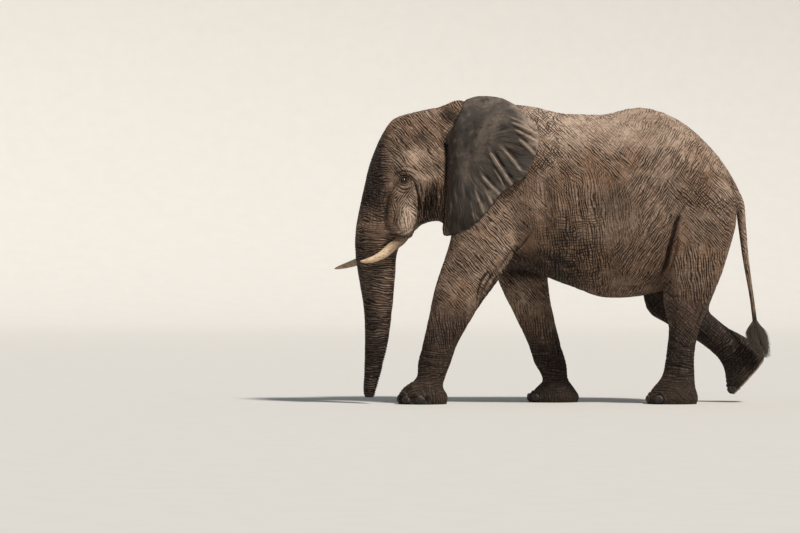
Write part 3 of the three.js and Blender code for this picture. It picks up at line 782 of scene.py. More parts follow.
HEAD_CREASES = {
    "lids and brow": (
        (7, 9, (-1756, 2338), (-1727, 2370), (-1682, 2384), (-1630, 2364), (-1600, 2330)),
        (9, 10, (-1790, 2372), (-1740, 2410), (-1678, 2424), (-1600, 2400), (-1545, 2346)),
        (9, 7, (-1796, 2430), (-1725, 2464), (-1634, 2468), (-1520, 2424), (-1430, 2350)),
    ),
    "under the eye": (
        (7, 8, (-1754, 2318), (-1722, 2284), (-1674, 2270), (-1614, 2292)),
        (8, 9, (-1776, 2304), (-1732, 2252), (-1670, 2234), (-1596, 2258)),
        (9, 7, (-1788, 2270), (-1732, 2212), (-1662, 2196), (-1588, 2216)),
    ),
    "behind the eye": (
        (13, 18, (-1604, 2350), (-1572, 2300), (-1545, 2210), (-1520, 2110), (-1508, 2000)),
        (10, 12, (-1560, 2350), (-1516, 2280), (-1492, 2200), (-1472, 2120)),
    ),
    "edge of the cheek": (
        (17, 34, (-1516, 2180), (-1512, 2080), (-1520, 1980), (-1545, 1880), (-1580, 1790), (-1630, 1735)),
    ),
    "jaw": (
        (12, 14, (-1450, 2300), (-1436, 2150), (-1448, 2010), (-1470, 1930)),
        (12, 13, (-1400, 2330), (-1382, 2160), (-1396, 2020), (-1420, 1940)),
        (12, 13, (-1350, 2340), (-1332, 2170), (-1345, 2040), (-1370, 1960)),
        (12, 12, (-1300, 2340), (-1284, 2180), (-1295, 2050), (-1315, 1980)),
    ),
    "mouth": ((13, 14, (-1580, 1830), (-1500, 1880), (-1420, 1930), (-1330, 1985)),),
    "tusk root": ((20, 16, (-1790, 2270), (-1836, 2150), (-1862, 1980), (-1872, 1800)),),
    "lip over the tusk": ((12, 12, (-1880, 1746), (-1800, 1766), (-1720, 1748), (-1640, 1740)),),
    "forehead": (
        (13, 7, (-1890, 2700), (-1830, 2640), (-1780, 2560), (-1756, 2480)),
        (13, 7, (-1880, 2800), (-1800, 2730), (-1736, 2640), (-1700, 2560)),
        (14, 7, (-1850, 2890), (-1760, 2810), (-1670, 2710), (-1630, 2650)),
        (14, 6, (-1790, 2950), (-1690, 2860), (-1600, 2750), (-1530, 2660)),
    ),
    "crown": (
        (14, 7, (-1700, 3000), (-1600, 2900), (-1500, 2780), (-1430, 2680)),
        (13, 7, (-1600, 3020), (-1500, 2920), (-1410, 2800), (-1340, 2680)),
        (13, 6, (-1510, 3030), (-1420, 2940), (-1340, 2830), (-1270, 2700)),
    ),
    "behind the temple": (
        (12, 7, (-1440, 2620), (-1390, 2540), (-1370, 2450), (-1376, 2360)),
        (12, 7, (-1370, 2660), (-1325, 2560), (-1306, 2450), (-1312, 2350)),
    ),
    "side of the neck": ((16, 12, (-1300, 2960), (-1290, 2840), (-1250, 2700), (-1232, 2560)),),
}

BODY_CREASES = {
    "flank": (
        (27, 52, (1215, 1960), (1158, 1800), (1116, 1630), (1080, 1465), (1015, 1300)),
        (20, 14, (1320, 2160), (1250, 2040), (1172, 1880), (1130, 1740)),
        (15, 18, (1196, 1760), (1180, 1600), (1140, 1440), (1090, 1330)),
    ),
    "thigh": (
        (22, 9, (1298, 1820), (1285, 1640), (1281, 1480), (1262, 1330)),
        (40, 15, (1475, 1930), (1492, 1740), (1496, 1580), (1480, 1400)),
        (22, 8, (1392, 1780), (1385, 1620), (1386, 1460), (1368, 1340)),
        (34, 9, (1620, 1900), (1600, 1720), (1570, 1540), (1550, 1400)),
    ),
    "behind the shoulder": (
        (56, 16, (-330, 2560), (-220, 2350), (-170, 2100), (-200, 1850), (-300, 1690)),
    ),
    "ribs": (
        (32, 8, (-90, 2560), (-10, 2300), (20, 2040), (-30, 1700)),
        (30, 7, (90, 2460), (150, 2240), (170, 1960), (130, 1640)),
        (30, 6, (270, 2380), (310, 2150), (320, 1900), (290, 1600)),
    ),
    "neck": ((34, 9, (-620, 2900), (-560, 2740), (-560, 2560), (-620, 2380)),),
    "base of the tail": ((20, 12, (1700, 2520), (1770, 2380), (1800, 2230), (1790, 2060)),),
    "web behind the elbow": (
        (13, 12, (-277, 1860), (-340, 1760), (-409, 1656), (-500, 1560), (-560, 1450)),
        (40, 12, (-275, 1570), (-120, 1490), (80, 1410), (300, 1325)),
    ),
    "along the back": ((12, 6, (300, 2950), (560, 2966), (850, 2974), (1160, 2950), (1350, 2850)),),
    "belly": ((16, 12, (560, 1240), (700, 1225), (860, 1235), (980, 1290)),),
}

LEFT_LEG_CREASES = {
    "elbow": (
        (14, 22, (-760, 1390), (-800, 1330), (-856, 1240), (-886, 1130), (-905, 1010)),
        (14, 18, (-715, 1370), (-745, 1310), (-806, 1210), (-850, 1100), (-862, 1010)),
        (11, 13, (-672, 1340), (-705, 1270), (-760, 1170), (-800, 1080)),
    ),
    "armpit": ((16, 12, (-420, 1690), (-540, 1560), (-640, 1430), (-700, 1330)),),
    "wrist": (
        (12, 9, (-1490, 590), (-1440, 560), (-1370, 566), (-1310, 540)),
        (12, 9, (-1500, 520), (-1430, 486), (-1340, 492), (-1250, 462)),
        (12, 8, (-1510, 440), (-1450, 410), (-1340, 408), (-1230, 392)),
    ),
    "heel": ((14, 12, (-1330, 262), (-1290, 300), (-1240, 330)),),
    "knee": ((16, 12, (1080, 1180), (1150, 1130), (1230, 1120)),),
    "hock": (
        (15, 14, (1470, 1050), (1450, 940), (1400, 820), (1390, 700)),
        (13, 11, (1420, 1060), (1390, 950), (1350, 850)),
    ),
    "ankle": (
        (12, 11, (1100, 420), (1180, 400), (1280, 390), (1370, 360)),
        (12, 11, (1090, 330), (1180, 306), (1280, 296), (1380, 270)),
    ),
    "shank": (
        (13, 8, (1120, 700), (1200, 640), (1300, 590), (1390, 560)),
        (13, 8, (1110, 610), (1190, 550), (1290, 500), (1380, 480)),
    ),
}

RIGHT_LEG_CREASES = {
    "elbow": (
        (13, 20, (-150, 1480), (-180, 1380), (-170, 1260), (-150, 1140)),
        (12, 16, (-110, 1440), (-140, 1350), (-130, 1240), (-110, 1140)),
    ),
    "wrist": (
        (12, 12, (-280, 470), (-190, 440), (-80, 450), (40, 420)),
        (12, 10, (-240, 380), (-150, 350), (-60, 360), (60, 330)),
    ),
    "hock": ((16, 16, (1560, 1050), (1500, 950), (1430, 880), (1330, 850)),),
    "knee": ((16, 12, (930, 1120), (1010, 1080), (1090, 1090)),),
    "ankle": (
        (13, 12, (1700, 560), (1780, 600), (1860, 660), (1900, 720)),
        (13, 12, (1730, 480), (1820, 530), (1900, 590), (1960, 660)),
    ),
}

SWELLS = (
    *swells(HEAD_SWELLS),
    *swells(BODY_SWELLS),
    *swells(LEFT_LEG_SWELLS, LEFT_ONLY),
    *swells(RIGHT_LEG_SWELLS, RIGHT_ONLY),
)
CREASES = (
    *creases(HEAD_CREASES),
    *creases(BODY_CREASES),
    *creases(LEFT_LEG_CREASES, LEFT_ONLY),
    *creases(RIGHT_LEG_CREASES, RIGHT_ONLY),
)


@frozen
class Course:
    """One lie of the wrinkles in the side view: a family of lines and a weaker one across it.

    Slopes are in degrees from level, positive where a line climbs towards the tail. Spacings are in
    millimetres from line to line.
    """

    main: float
    cross: float
    spacing: float
    apart: float

    def families(self) -> tuple[tuple[float, float, float], tuple[float, float, float]]:
        """The counting vector of each family: its dot product with a place grows by one a line."""
        found = []
        for slope, spacing in ((self.main, self.spacing), (self.cross, self.apart)):
            turn = math.radians(slope)
            found.append((-math.sin(turn) / spacing, 0.0, math.cos(turn) / spacing))
        return found[0], found[1]


FALLING = Course(-46, 52, 23, 31)
UPRIGHT = Course(-82, 4, 27, 31)
RISING = Course(57, -30, 23, 31)
COURSES = (FALLING, UPRIGHT, RISING)


@frozen
class Lie:
    """Which way the wrinkles run where."""

    ring: float = 25.0
    patch: Drift = Drift(seed=11, scale=420)
    jitter: Drift = Drift(seed=12, scale=170)

    def rings(self, points: Array) -> Array:
        """A count that grows by one from line to line across the trunk, the face and the legs."""
        x, y, z = points.T
        bow = 0.16 * np.abs(y) * ramp(x, -1500, -1700)
        lifted = ramp(x, 1300, 1500) * ramp(z, 1150, 950) * (y > 60)
        along = z + bow + lifted * (0.25 * (1000 - z) - 0.75 * (x - 1500))
        return along / self.ring + 0.5 * self.patch.at(points) + 0.2 * self.jitter.at(points)

    def shares(self, points: Array, regions: Regions) -> Array:
        """How much the wrinkles fall, stand upright, rise and lie level, (n, 4).

        Args:
            points: Places in the drawing, on the straight head.
            regions: The regions of those points.

        Returns:
            The four shares of each point. They sum to 1 off the ears.
        """
        stray = 110 * self.patch.at(points) + 45 * self.jitter.at(points)
        x, z = points[:, 0] + stray, points[:, 2] - stray
        rear, fore = ramp(x, 380, 860), ramp(x, -100, -480)
        high = ramp(z, 2080, 2520)
        haunch = ramp(x, 1040, 1360) * ramp(z, 2560, 2140)
        thigh = ramp(x, 1120, 1200) * ramp(z, 1700, 1500)
        rising = rear * (1 - haunch)
        falling = fore + (1 - rear) * (1 - fore) * high + rear * haunch * (1 - thigh)
        limb = regions.leg
        forearm = ramp(z, 1150, 850) * ramp(x, 400, 200)
        shank = ramp(x, 1000, 1100) * ramp(z, 1150, 950)
        falling = falling * (1 - limb) + limb * np.maximum(1 - forearm - thigh, shank)
        rising = rising * (1 - limb)
        jaw, before = ramp(z, 2480, 2280) * ramp(x, -1600, -1520), ramp(x, -1610, -1690) * ramp(z, 2420, 2300)
        head = regions.head
        falling = falling * (1 - head) + head * (1 - jaw) * (1 - before)
        rising = rising * (1 - head) + head * before * ramp(z, 1950, 2150)
        ankle = limb * ramp(z, 620, 480) * ramp(z, 90, 200)
        level = np.clip(regions.trunk + regions.face + ankle, 0, 1)
        falling, rising = (np.clip(share, 0, 1) * (1 - level) for share in (falling, rising))
        upright = np.clip(1 - level - falling - rising, 0, 1)
        return beside(falling, upright, rising, level) * (1 - regions.ear[:, None])

    def crossing(self, points: Array, regions: Regions) -> Array:
        """How strongly a second family of wrinkles crosses the first.

        Args:
            points: Places in the drawing, (n, 3).
            regions: The regions at those points.

        Returns:
            0 to 1 at each point.
        """
        x, _, z = points.T
        barrel = bell(x - 150, 420) * ramp(z, 2150, 1850)
        upper = bell(x + 250, 350) * ramp(z, 2250, 2500)
        haunch = spot(points, 1480, 2150, 260, 260)
        root = spot(points, -1950, 2080, 160, 200)
        limb = 0.4 * regions.leg * ramp(z, 1300, 900)
        foot = regions.leg * ramp(z, 440, 260)
        share = 0.3 + 0.6 * most(barrel, upper, haunch, root, limb) - 0.3 * regions.trunk - 0.4 * foot
        return np.clip(share, 0, 1) * (1 - regions.ear)

    def worn(self, points: Array, regions: Regions) -> Array:
        """How strongly the wrinkles show.

        Args:
            points: Places in the drawing, (n, 3).
            regions: The regions at those points.

        Returns:
            0 to 1 at each point.
        """
        x, _, z = points.T
        stray = 60 * self.patch.at(points)
        back = 0.25 * ramp(z + stray, 2480, 2800) * ramp(x, -150, 250)
        temple = 0.55 * spot(points, -1570, 2590, 80, 90)
        web = 0.8 * spot(points, -350, 1657, 80, 110)
        flank = 0.15 * spot(points, 620, 1960, 180, 200)
        limb = regions.leg * (0.15 * ramp(z, 1300, 1000) + 0.35 * ramp(z, 360, 220))
        eye = 0.85 * bell(np.hypot(x + 1690, (z - 2330) * 1.2), 58)
        return 1 - np.clip(most(back, temple, web, flank, limb, eye, 0.5 * regions.ear), 0, 1)


@frozen
class Regions:
    """How much each point belongs to the trunk, face, rest of the head, legs and ears, 0 to 1."""

    trunk: Array
    face: Array
    head: Array
    leg: Array
    ear: Array

    @classmethod
    def at(cls, points: Array, ear: Array) -> Regions:
        """The regions of points in the drawing, on the straight head.

        Args:
            points: Places in the drawing.
            ear: 1 on the ears and 0 elsewhere.

        Returns:
            The share of each region at each point.
        """
        x, y, z = points.T
        front = ramp(x, -1500, -1640)
        trunk = front * ramp(z, 1950, 1650)
        face = front * ramp(x, -1760, -1900) * (1 - trunk)
        head = ramp(x, -1130, -1250) * ramp(z, 1500, 1700) * (1 - trunk) * (1 - face)
        leg = np.zeros(len(points))
        for form, side in LEGS:
            fore = form.name.startswith("fore")
            away = np.abs(x - form.middle_x(z))
            below = ramp(z, 1750, 1150) if fore else ramp(z, 1500, 1050)
            leg = np.maximum(leg, below * ramp(away, 480, 330) * (side.value * y > 40))
        return cls(trunk, face, head, leg * (1 - head) * ramp(x, -1750, -1700), ear)


@frozen
class Carver:
    """Carves folds, wrinkles and swellings into the hide."""

    lie: Lie = Lie()
    breaks: Drift = Drift(seed=21, scale=150)
    crossed: Drift = Drift(seed=24, scale=210)
    bend: Drift = Drift(seed=25, scale=380)
    sag: Drift = Drift(seed=22, scale=420)
    pucker: Drift = Drift(seed=23, scale=90)
    coarser: float = 3.3

    def lift(self, hide: Relief, regions: Regions) -> Array:
        """How far each point moves outwards, in millimetres."""
        swollen = sum(swell.lift(hide) for swell in SWELLS)
        return swollen + self.folds(hide) + self.wrinkles(hide, regions) + self.spine(hide)

    def folds(self, hide: Relief) -> Array:
        """The drawn creases alone, in millimetres."""
        uneven = 1 + 0.3 * self.breaks.at(hide.points)
        return uneven * sum(crease.lift(hide) for crease in CREASES)

    def shade(self, hide: Relief) -> Array:
        """The drawn creases as painted shade and highlight: -1 in a sharp one, above 0 on its banks."""
        return sum(crease.lift(hide) / crease.width for crease in CREASES)

    def wrinkles(self, hide: Relief, regions: Regions) -> Array:
        """The finer folds of each region.

        Args:
            hide: The hide's points and normals.
            regions: The regions at those points.

        Returns:
            How far each point moves outwards, in millimetres.
        """
        points = hide.points
        z = points[:, 2]
        shares = self.lie.shares(points, regions)
        broken = ramp(self.breaks.at(points), -0.6, 0.3)
        crossing = ramp(self.crossed.at(points), 0.0, 0.7)
        bend = 0.55 * self.bend.at(points) + 0.3 * self.breaks.at(points)
        smooth_foot = (1 - regions.head) * (1 - 0.85 * regions.leg * ramp(z, 360, 220))
        lift = np.zeros(len(points))
        for coarser, depth, part in ((self.coarser, 4.2, smooth_foot), (1.85, 3.4, regions.head)):
            for share, course in zip(shares.T, COURSES):
                main, cross = (points @ np.array(way) / coarser for way in course.families())
                lines = broken * furrow(main + bend, 0.17) + 0.6 * crossing * furrow(cross - bend, 0.15)
                lift += part * share * depth * lines
        rear_edge = 1 + 0.9 * ramp(hide.normals[:, 0], 0.3, 0.8) * ramp(z, 1500, 1200)
        trunk_depth = 5.5 + 2.0 * ramp(z, 1200, 400) - 1.5 * ramp(z, 1500, 1900)
        rings = self.lie.rings(points)
        lift += regions.trunk * trunk_depth * rear_edge * (furrow(rings, 0.2) + 0.3)
        lift += regions.face * 4.0 * furrow(rings, 0.22) * ramp(z, 3000, 2400)
        ankle = regions.leg * ramp(z, 660, 480) * ramp(z, 130, 230)
        lift += ankle * 3.4 * furrow(rings / 1.7, 0.2) * broken
        return lift + 3.0 * self.sag.at(points) * (1 - 0.6 * regions.trunk) + 0.9 * self.pucker.at(points)

    def spine(self, hide: Relief) -> Array:
        """The row of spines along the back, with a shallow groove on either side."""
        x, y, _ = hide.points.T
        along = ramp(x, -250, 250) * ramp(x, 1750, 1250) * ramp(hide.normals[:, 2], 0.3, 0.7)
        knobs = 1.5 * np.cos(x / 19.0)
        ridge = (12 + knobs) * bell(y, 70) - 7 * bell(np.abs(y) - 150, 60)
        return along * ridge


# --- ears
EAR_OUTLINE = (
    (-1187, 2682), (-1193, 2485), (-1202, 2288), (-1209, 2091), (-1220, 1923), (-1230, 1795),
    (-1192, 1759), (-1088, 1779), (-960, 1834), (-861, 1923), (-753, 2041), (-634, 2194),
    (-516, 2276), (-417, 2337), (-338, 2436), (-281, 2574), (-242, 2732), (-252, 2850),
    (-319, 2949), (-417, 3052), (-536, 3146), (-664, 3197), (-812, 3213), (-911, 3201),
    (-1009, 3156), (-1060, 3028), (-1124, 2892), (-1201, 2781),
)

# The width and rise of each pleat, and the points of its crest from the root outwards.
EAR_PLEATS = (
    (13, 13, (-640, 3010), (-540, 2985), (-430, 2925), (-330, 2850)),
    (12, 18, (-600, 2935), (-500, 2915), (-390, 2862), (-268, 2810)),
    (12, 20, (-560, 2866), (-470, 2840), (-370, 2780), (-258, 2716)),
    (13, 16, (-520, 2800), (-440, 2745), (-350, 2660), (-280, 2590)),
    (14, 17, (-720, 2716), (-620, 2650), (-520, 2545), (-410, 2400)),
    (15, 24, (-800, 2690), (-735, 2600), (-640, 2450), (-520, 2280)),
    (10, 11, (-770, 2560), (-715, 2450), (-650, 2350), (-590, 2240)),
    (13, 20, (-880, 2470), (-822, 2367), (-735, 2265), (-640, 2170)),
    (11, 12, (-850, 2330), (-800, 2230), (-760, 2150), (-715, 2060)),
    (13, 18, (-930, 2330), (-890, 2200), (-850, 2090), (-800, 1975)),
    (12, 9, (-960, 2200), (-940, 2100), (-925, 2000), (-900, 1890)),
)


@frozen
class Ear:
    """One ear: a thin sheet with pleats that fan out to its lower and rear rim."""

    side: Side
    middle: tuple[float, float] = (-760.0, 2560.0)
    root: tuple[float, float] = (-1120.0, 2760.0)
    thickness: float = 24.0
    rim: float = 9.0
    around: int = 320
    across: int = 60
    veins: Drift = Drift(seed=31, scale=300)
    flutter: Drift = Drift(seed=32, scale=260)
    ragged: Drift = Drift(seed=33, scale=75)

    def outline(self, count: int) -> Array:
        """The rim as evenly spaced places in the side view."""
        loop = np.array(EAR_OUTLINE, float)
        wrapped = np.concatenate([loop[-1:], loop, loop[:2]])
        fine = catmull_rom(wrapped, [12] * (len(wrapped) - 1))[12:-12]
        ways = ways_along(fine)
        even = np.linspace(0, ways[-1], count, endpoint=False)
        return beside(*(np.interp(even, ways, fine[:, i]) for i in (0, 1)))

    def spread(self, x: Array, z: Array) -> Array:
        """The distance of the sheet's middle from the midline."""
        back = 1 - np.exp(-(x + 1190) / 350)
        curl = np.maximum(0, (z - 2840) / 398) ** 2
        hang = np.maximum(0, (2250 - z) / 485)
        return 358 + 305 * back - 300 * curl + 45 * hang

    def pleats(self, x: Array, z: Array) -> Array:
        """The fanning pleats: ridges with a valley on either side.

        Args:
            x: Places along the body.
            z: Their heights.

        Returns:
            Their height at each place, in millimetres.
        """
        height = np.zeros_like(x)
        flat = beside(x, z)
        for width, rise, *path in EAR_PLEATS:
            found, left, along = Track(path).near(flat, 6 * width)
            grows = ramp(along, 0.0, 0.6) * (1 - 0.4 * ramp(along, 0.85, 1.0))
            crest = bell(left, np.where(left > 0, 0.8, 1.7) * width)
            height[found] += rise * grows * (crest - 0.55 * bell(left - 2.3 * width, 1.2 * width))
        return height * (1 + 0.3 * self.ragged.at(beside(x, 0 * x, z)))

    def fan(self, x: Array, z: Array) -> Array:
        """A count that grows by one from streak to streak round the root of the sheet."""
        wander = 0.8 * self.flutter.at(beside(x, 0 * x, z))
        return 24 * np.arctan2(z - self.root[1], x - self.root[0]) + wander

    def streaked(self, x: Array, z: Array) -> Array:
        """Where the fine streaks show, 0 to 1."""
        return ramp(np.hypot(x - self.root[0], z - self.root[1]), 260, 480) * ramp(z, 3050, 2700)

    def folds(self, x: Array, z: Array) -> Array:
        """The height of the pleats, the veins and the flutter of the sheet."""
        flat = beside(x, np.zeros_like(x), z)
        far = np.hypot(x + 1010, z - 2800)
        vein = bell(self.veins.at(flat * [1, 1, 1.4]), 0.12) * ramp(far, 800, 300)
        soft = 8.0 * self.flutter.at(flat[:, [2, 0, 1]]) * ramp(far, 300, 800)
        return self.pleats(x, z) + 2.0 * vein + soft

    def build(self, drawing: Drawing) -> Piece:
        """The ear as a closed sheet; the poles of a ball become the middles of its two faces.

        Args:
            drawing: The drawing, laid over the part.

        Returns:
            The sheet, facing outwards.
        """
        ear = ball(f"ear_{self.side.word}_sheet", self.around, 2 * self.across)
        round_x, round_y, round_z = points_of(ear).T
        latitude = np.arccos(np.clip(round_z, -1, 1)) / (math.pi / 2)
        reach = np.where(latitude <= 1, latitude, 2 - latitude)
        turn = np.mod(np.arctan2(round_y, round_x) / (2 * math.pi), 1) * self.around
        index = np.round(turn).astype(int) % self.around
        rim = self.outline(self.around)[index]
        worn = 2 + 5 * ramp(rim[:, 1], 2600, 2300) * ramp(rim[:, 0], -1050, -850)
        rim += (worn * self.ragged.at(beside(rim[:, 0], 0 * reach, rim[:, 1])))[:, None]
        x, z = (np.array(self.middle) + (rim - self.middle) * reach[:, None]).T
        rootward = np.clip((-950 - x) / 240, 0, 1)
        half = self.rim / 2 + (self.thickness / 2 + 10 * rootward - self.rim / 2) * (1 - reach**5)
        out = np.sign(1.0 - latitude) * half * np.where(np.abs(latitude - 1) < 1e-6, 0, 1)
        loose = ramp(x, -1120, -900)
        to_rim = (1 - reach) * np.linalg.norm(rim - self.middle, axis=1)
        rear = ramp(z, 2560, 2820) * ramp(x, -760, -520)
        rolled = 60 * rear * ramp(to_rim, 150, 0) ** 1.5
        middle = self.spread(x, z) + loose * self.folds(x, z) - rolled
        place_points(ear, drawing.to_frame(beside(x, self.side.value * (middle + out), z)))
        face_out(ear)
        return ear

    def share(self, points: Array) -> Array:
        """Tells the ear's sheet from the body.

        Args:
            points: Places in the drawing, (n, 3).

        Returns:
            1 on the sheet and 0 on the body.
        """
        x, y, z = points.T
        loop = self.outline(120)
        grown = self.middle + (loop - self.middle) * 1.02
        inside = np.zeros(len(points), bool)
        for (x0, z0), (x1, z1) in zip(grown, np.roll(grown, -1, axis=0)):
            crosses = (z0 > z) != (z1 > z)
            span = np.where(abs(z1 - z0) < 1e-9, 1e-9, z1 - z0)
            inside ^= crosses & (x < (x1 - x0) * (z - z0) / span + x0)
        out = ramp(self.side.value * y - self.spread(x, z), -75, -55)
        return inside * out * ramp(x, -1200, -1150)


# --- eyelids
@frozen
class Eyelids:
    """The opening of one eye, the rims of its lids and the first folds round them."""

    side: Side
    eye: tuple[float, float, float] = (-1690.0, 350.0, 2332.0)
    ball: float = 25.0
    sunk: float = 6.5
    opening: tuple[float, float] = (30.0, 18.0)
    slant: float = math.radians(9)

    def reach(self, x: Array, z: Array) -> tuple[Array, Array]:
        """How far out places lie, 1 at the edge of the opening, and how far from its middle."""
        along, up = tilted(x - self.eye[0], z - self.eye[2], self.slant)
        half_up = self.opening[1] * np.where(up > 0, 1.0, 0.9)
        return np.hypot(along / self.opening[0], up / half_up), np.hypot(along, up)

    def shade(self, x: Array, z: Array) -> Array:
        """The folds round the lids, for painted highlight and shade: up to 1 on their crests, down to -1
        between them.
        """
        uneven = 1 + 0.1 * np.sin(x / 13) * np.cos(z / 17) + 0.04 * np.sin(x / 5 + z / 4)
        reach = self.reach(x, z)[0] * uneven
        crests = bell(reach - 1.3, 0.14) + bell(reach - 2.05, 0.2) + 0.8 * bell(reach - 2.95, 0.22)
        return crests - bell(reach - 0.95, 0.16) - bell(reach - 1.66, 0.15) - 0.9 * bell(reach - 2.5, 0.17)

    def close(self, points: Array) -> Array:
        """Forms the lids in the head.

        Args:
            points: Places on the straight head, (n, 3).

        Returns:
            The places with the lids in them.
        """
        x, y, z = points.T
        reach, out = self.reach(x, z)
        middle = self.eye[1] - self.sunk
        away = np.minimum(out, self.ball * 0.985)
        rim = middle + np.sqrt(self.ball**2 - away**2) + 2.2
        lid = rim + 2.0 * bell(reach - 1.25, 0.25) - 30 * ramp(reach, 0.98, 0.72)
        outer = 352 + 8 * bell(reach - 2.05, 0.24)
        outer = outer - 9 * bell(reach - 1.66, 0.16) - 8 * bell(reach - 2.5, 0.18)
        shaped = lid + (outer - lid) * ramp(reach, 1.3, 1.9)
        share = ramp(reach, 3.6, 2.3) * (self.side.value * y > 200)
        depth = self.side.value * y
        return beside(x, self.side.value * (depth + (shaped - depth) * share), z)


# --- toenails
@frozen
class Foot:
    """One foot's sole and where its nails sit, in degrees from straight ahead to the outer side."""

    name: str
    side: Side
    sole: tuple[float, float]
    y: float
    half: tuple[float, float]
    nails: tuple[float, ...]
    slope: float = 0.0


FORE_NAILS = (-42.0, 2.0, 45.0, 84.0)
HIND_NAILS = (-30.0, 12.0, 55.0)
FEET = (
    Foot("fore_nail_left", Side.LEFT, (-1443, 0), 300, (259, 220), FORE_NAILS),
    Foot("fore_nail_right", Side.RIGHT, (-58, 0), 300, (268, 220), FORE_NAILS),
    Foot("hind_nail_left", Side.LEFT, (1158, 0), 268, (269, 202), HIND_NAILS),
    Foot("hind_nail_right", Side.RIGHT, (2006, 259), 275, (246, 193), HIND_NAILS, slope=49),
)


@frozen
class Toenail:
    """One broad nail, let into the wall of a foot."""

    foot: Foot
    number: int
    width: float = 100.0
    height: float = 84.0
    depth: float = 62.0
    above: float = 52.0
    inset: float = 20.0

    @property
    def node(self) -> str:
        """The name of the nail's node."""
        return f"{self.foot.name}_{self.number + 1}"

    def seat(self, points: Array) -> Array:
        """Moves points to the nail's seat.

        Args:
            points: Places about the nail's own middle, facing -X.

        Returns:
            Places in the drawing.
        """
        angle = math.radians(self.foot.nails[self.number])
        length, width = (reach - self.inset for reach in self.foot.half)
        side = self.foot.side.value
        turn = -side * math.atan2(math.sin(angle) * length, math.cos(angle) * width)
        x, y, z = points.T
        x, y = x * math.cos(turn) - y * math.sin(turn), x * math.sin(turn) + y * math.cos(turn)
        x = x - math.cos(angle) * length
        y = y + side * math.sin(angle) * width
        z = z + self.above
        x, z = tilted(x, z, -math.radians(self.foot.slope))
        return beside(x + self.foot.sole[0], y + side * self.foot.y, z + self.foot.sole[1])

    def away(self, points: Array) -> Array:
        """How far points of the drawing lie from the nail's middle."""
        return np.linalg.norm(points - self.seat(np.zeros((1, 3))), axis=1)

    def build(self, drawing: Drawing) -> Piece:
        """A domed plate with growth ridges and a worn lower edge.

        Args:
            drawing: The drawing, laid over the part.

        Returns:
            The nail, standing in for its node.
        """
        nail = ball(f"{self.node}_horn", 40, 24)
        x, y, z = points_of(nail).T
        flat = np.sign(x) * np.abs(x) ** 0.55
        from_edge = np.hypot(y, z + 0.55)
        ridge = 1 + 0.045 * np.sin(from_edge * 21 + self.number) + 0.012 * np.sin(y * 31)
        worn = 1 - 0.22 * ramp(z, -0.45, -0.95)
        deep, broad = flat * self.depth / 2 * ridge * worn, y * self.width / 2 * (1 - 0.1 * z)
        shape = beside(deep, broad, z * self.height / 2)
        place_points(nail, drawing.to_frame(self.seat(shape)))
        paint(nail, "edge", np.hypot(y, z))
        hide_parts(self.node)
        return nail


TOENAILS = tuple(Toenail(foot, number) for foot in FEET for number in range(len(foot.nails)))


def from_nails(points: Array) -> Array:
    """How far points of the drawing lie from the nearest toenail's middle."""
    return np.minimum.reduce([nail.away(points) for nail in TOENAILS])


# --- the hide
FLESH_NODES = (
    *("torso", "neck", "head", "lower_jaw", "trunk_upper", "trunk_middle", "trunk_lower"),
    *(f"{leg.name}_{length}" for leg, _ in LEGS for length in ("upper", "lower", "foot")),
    *("tail_upper", "tail_lower", "ear_left", "ear_right"),
)


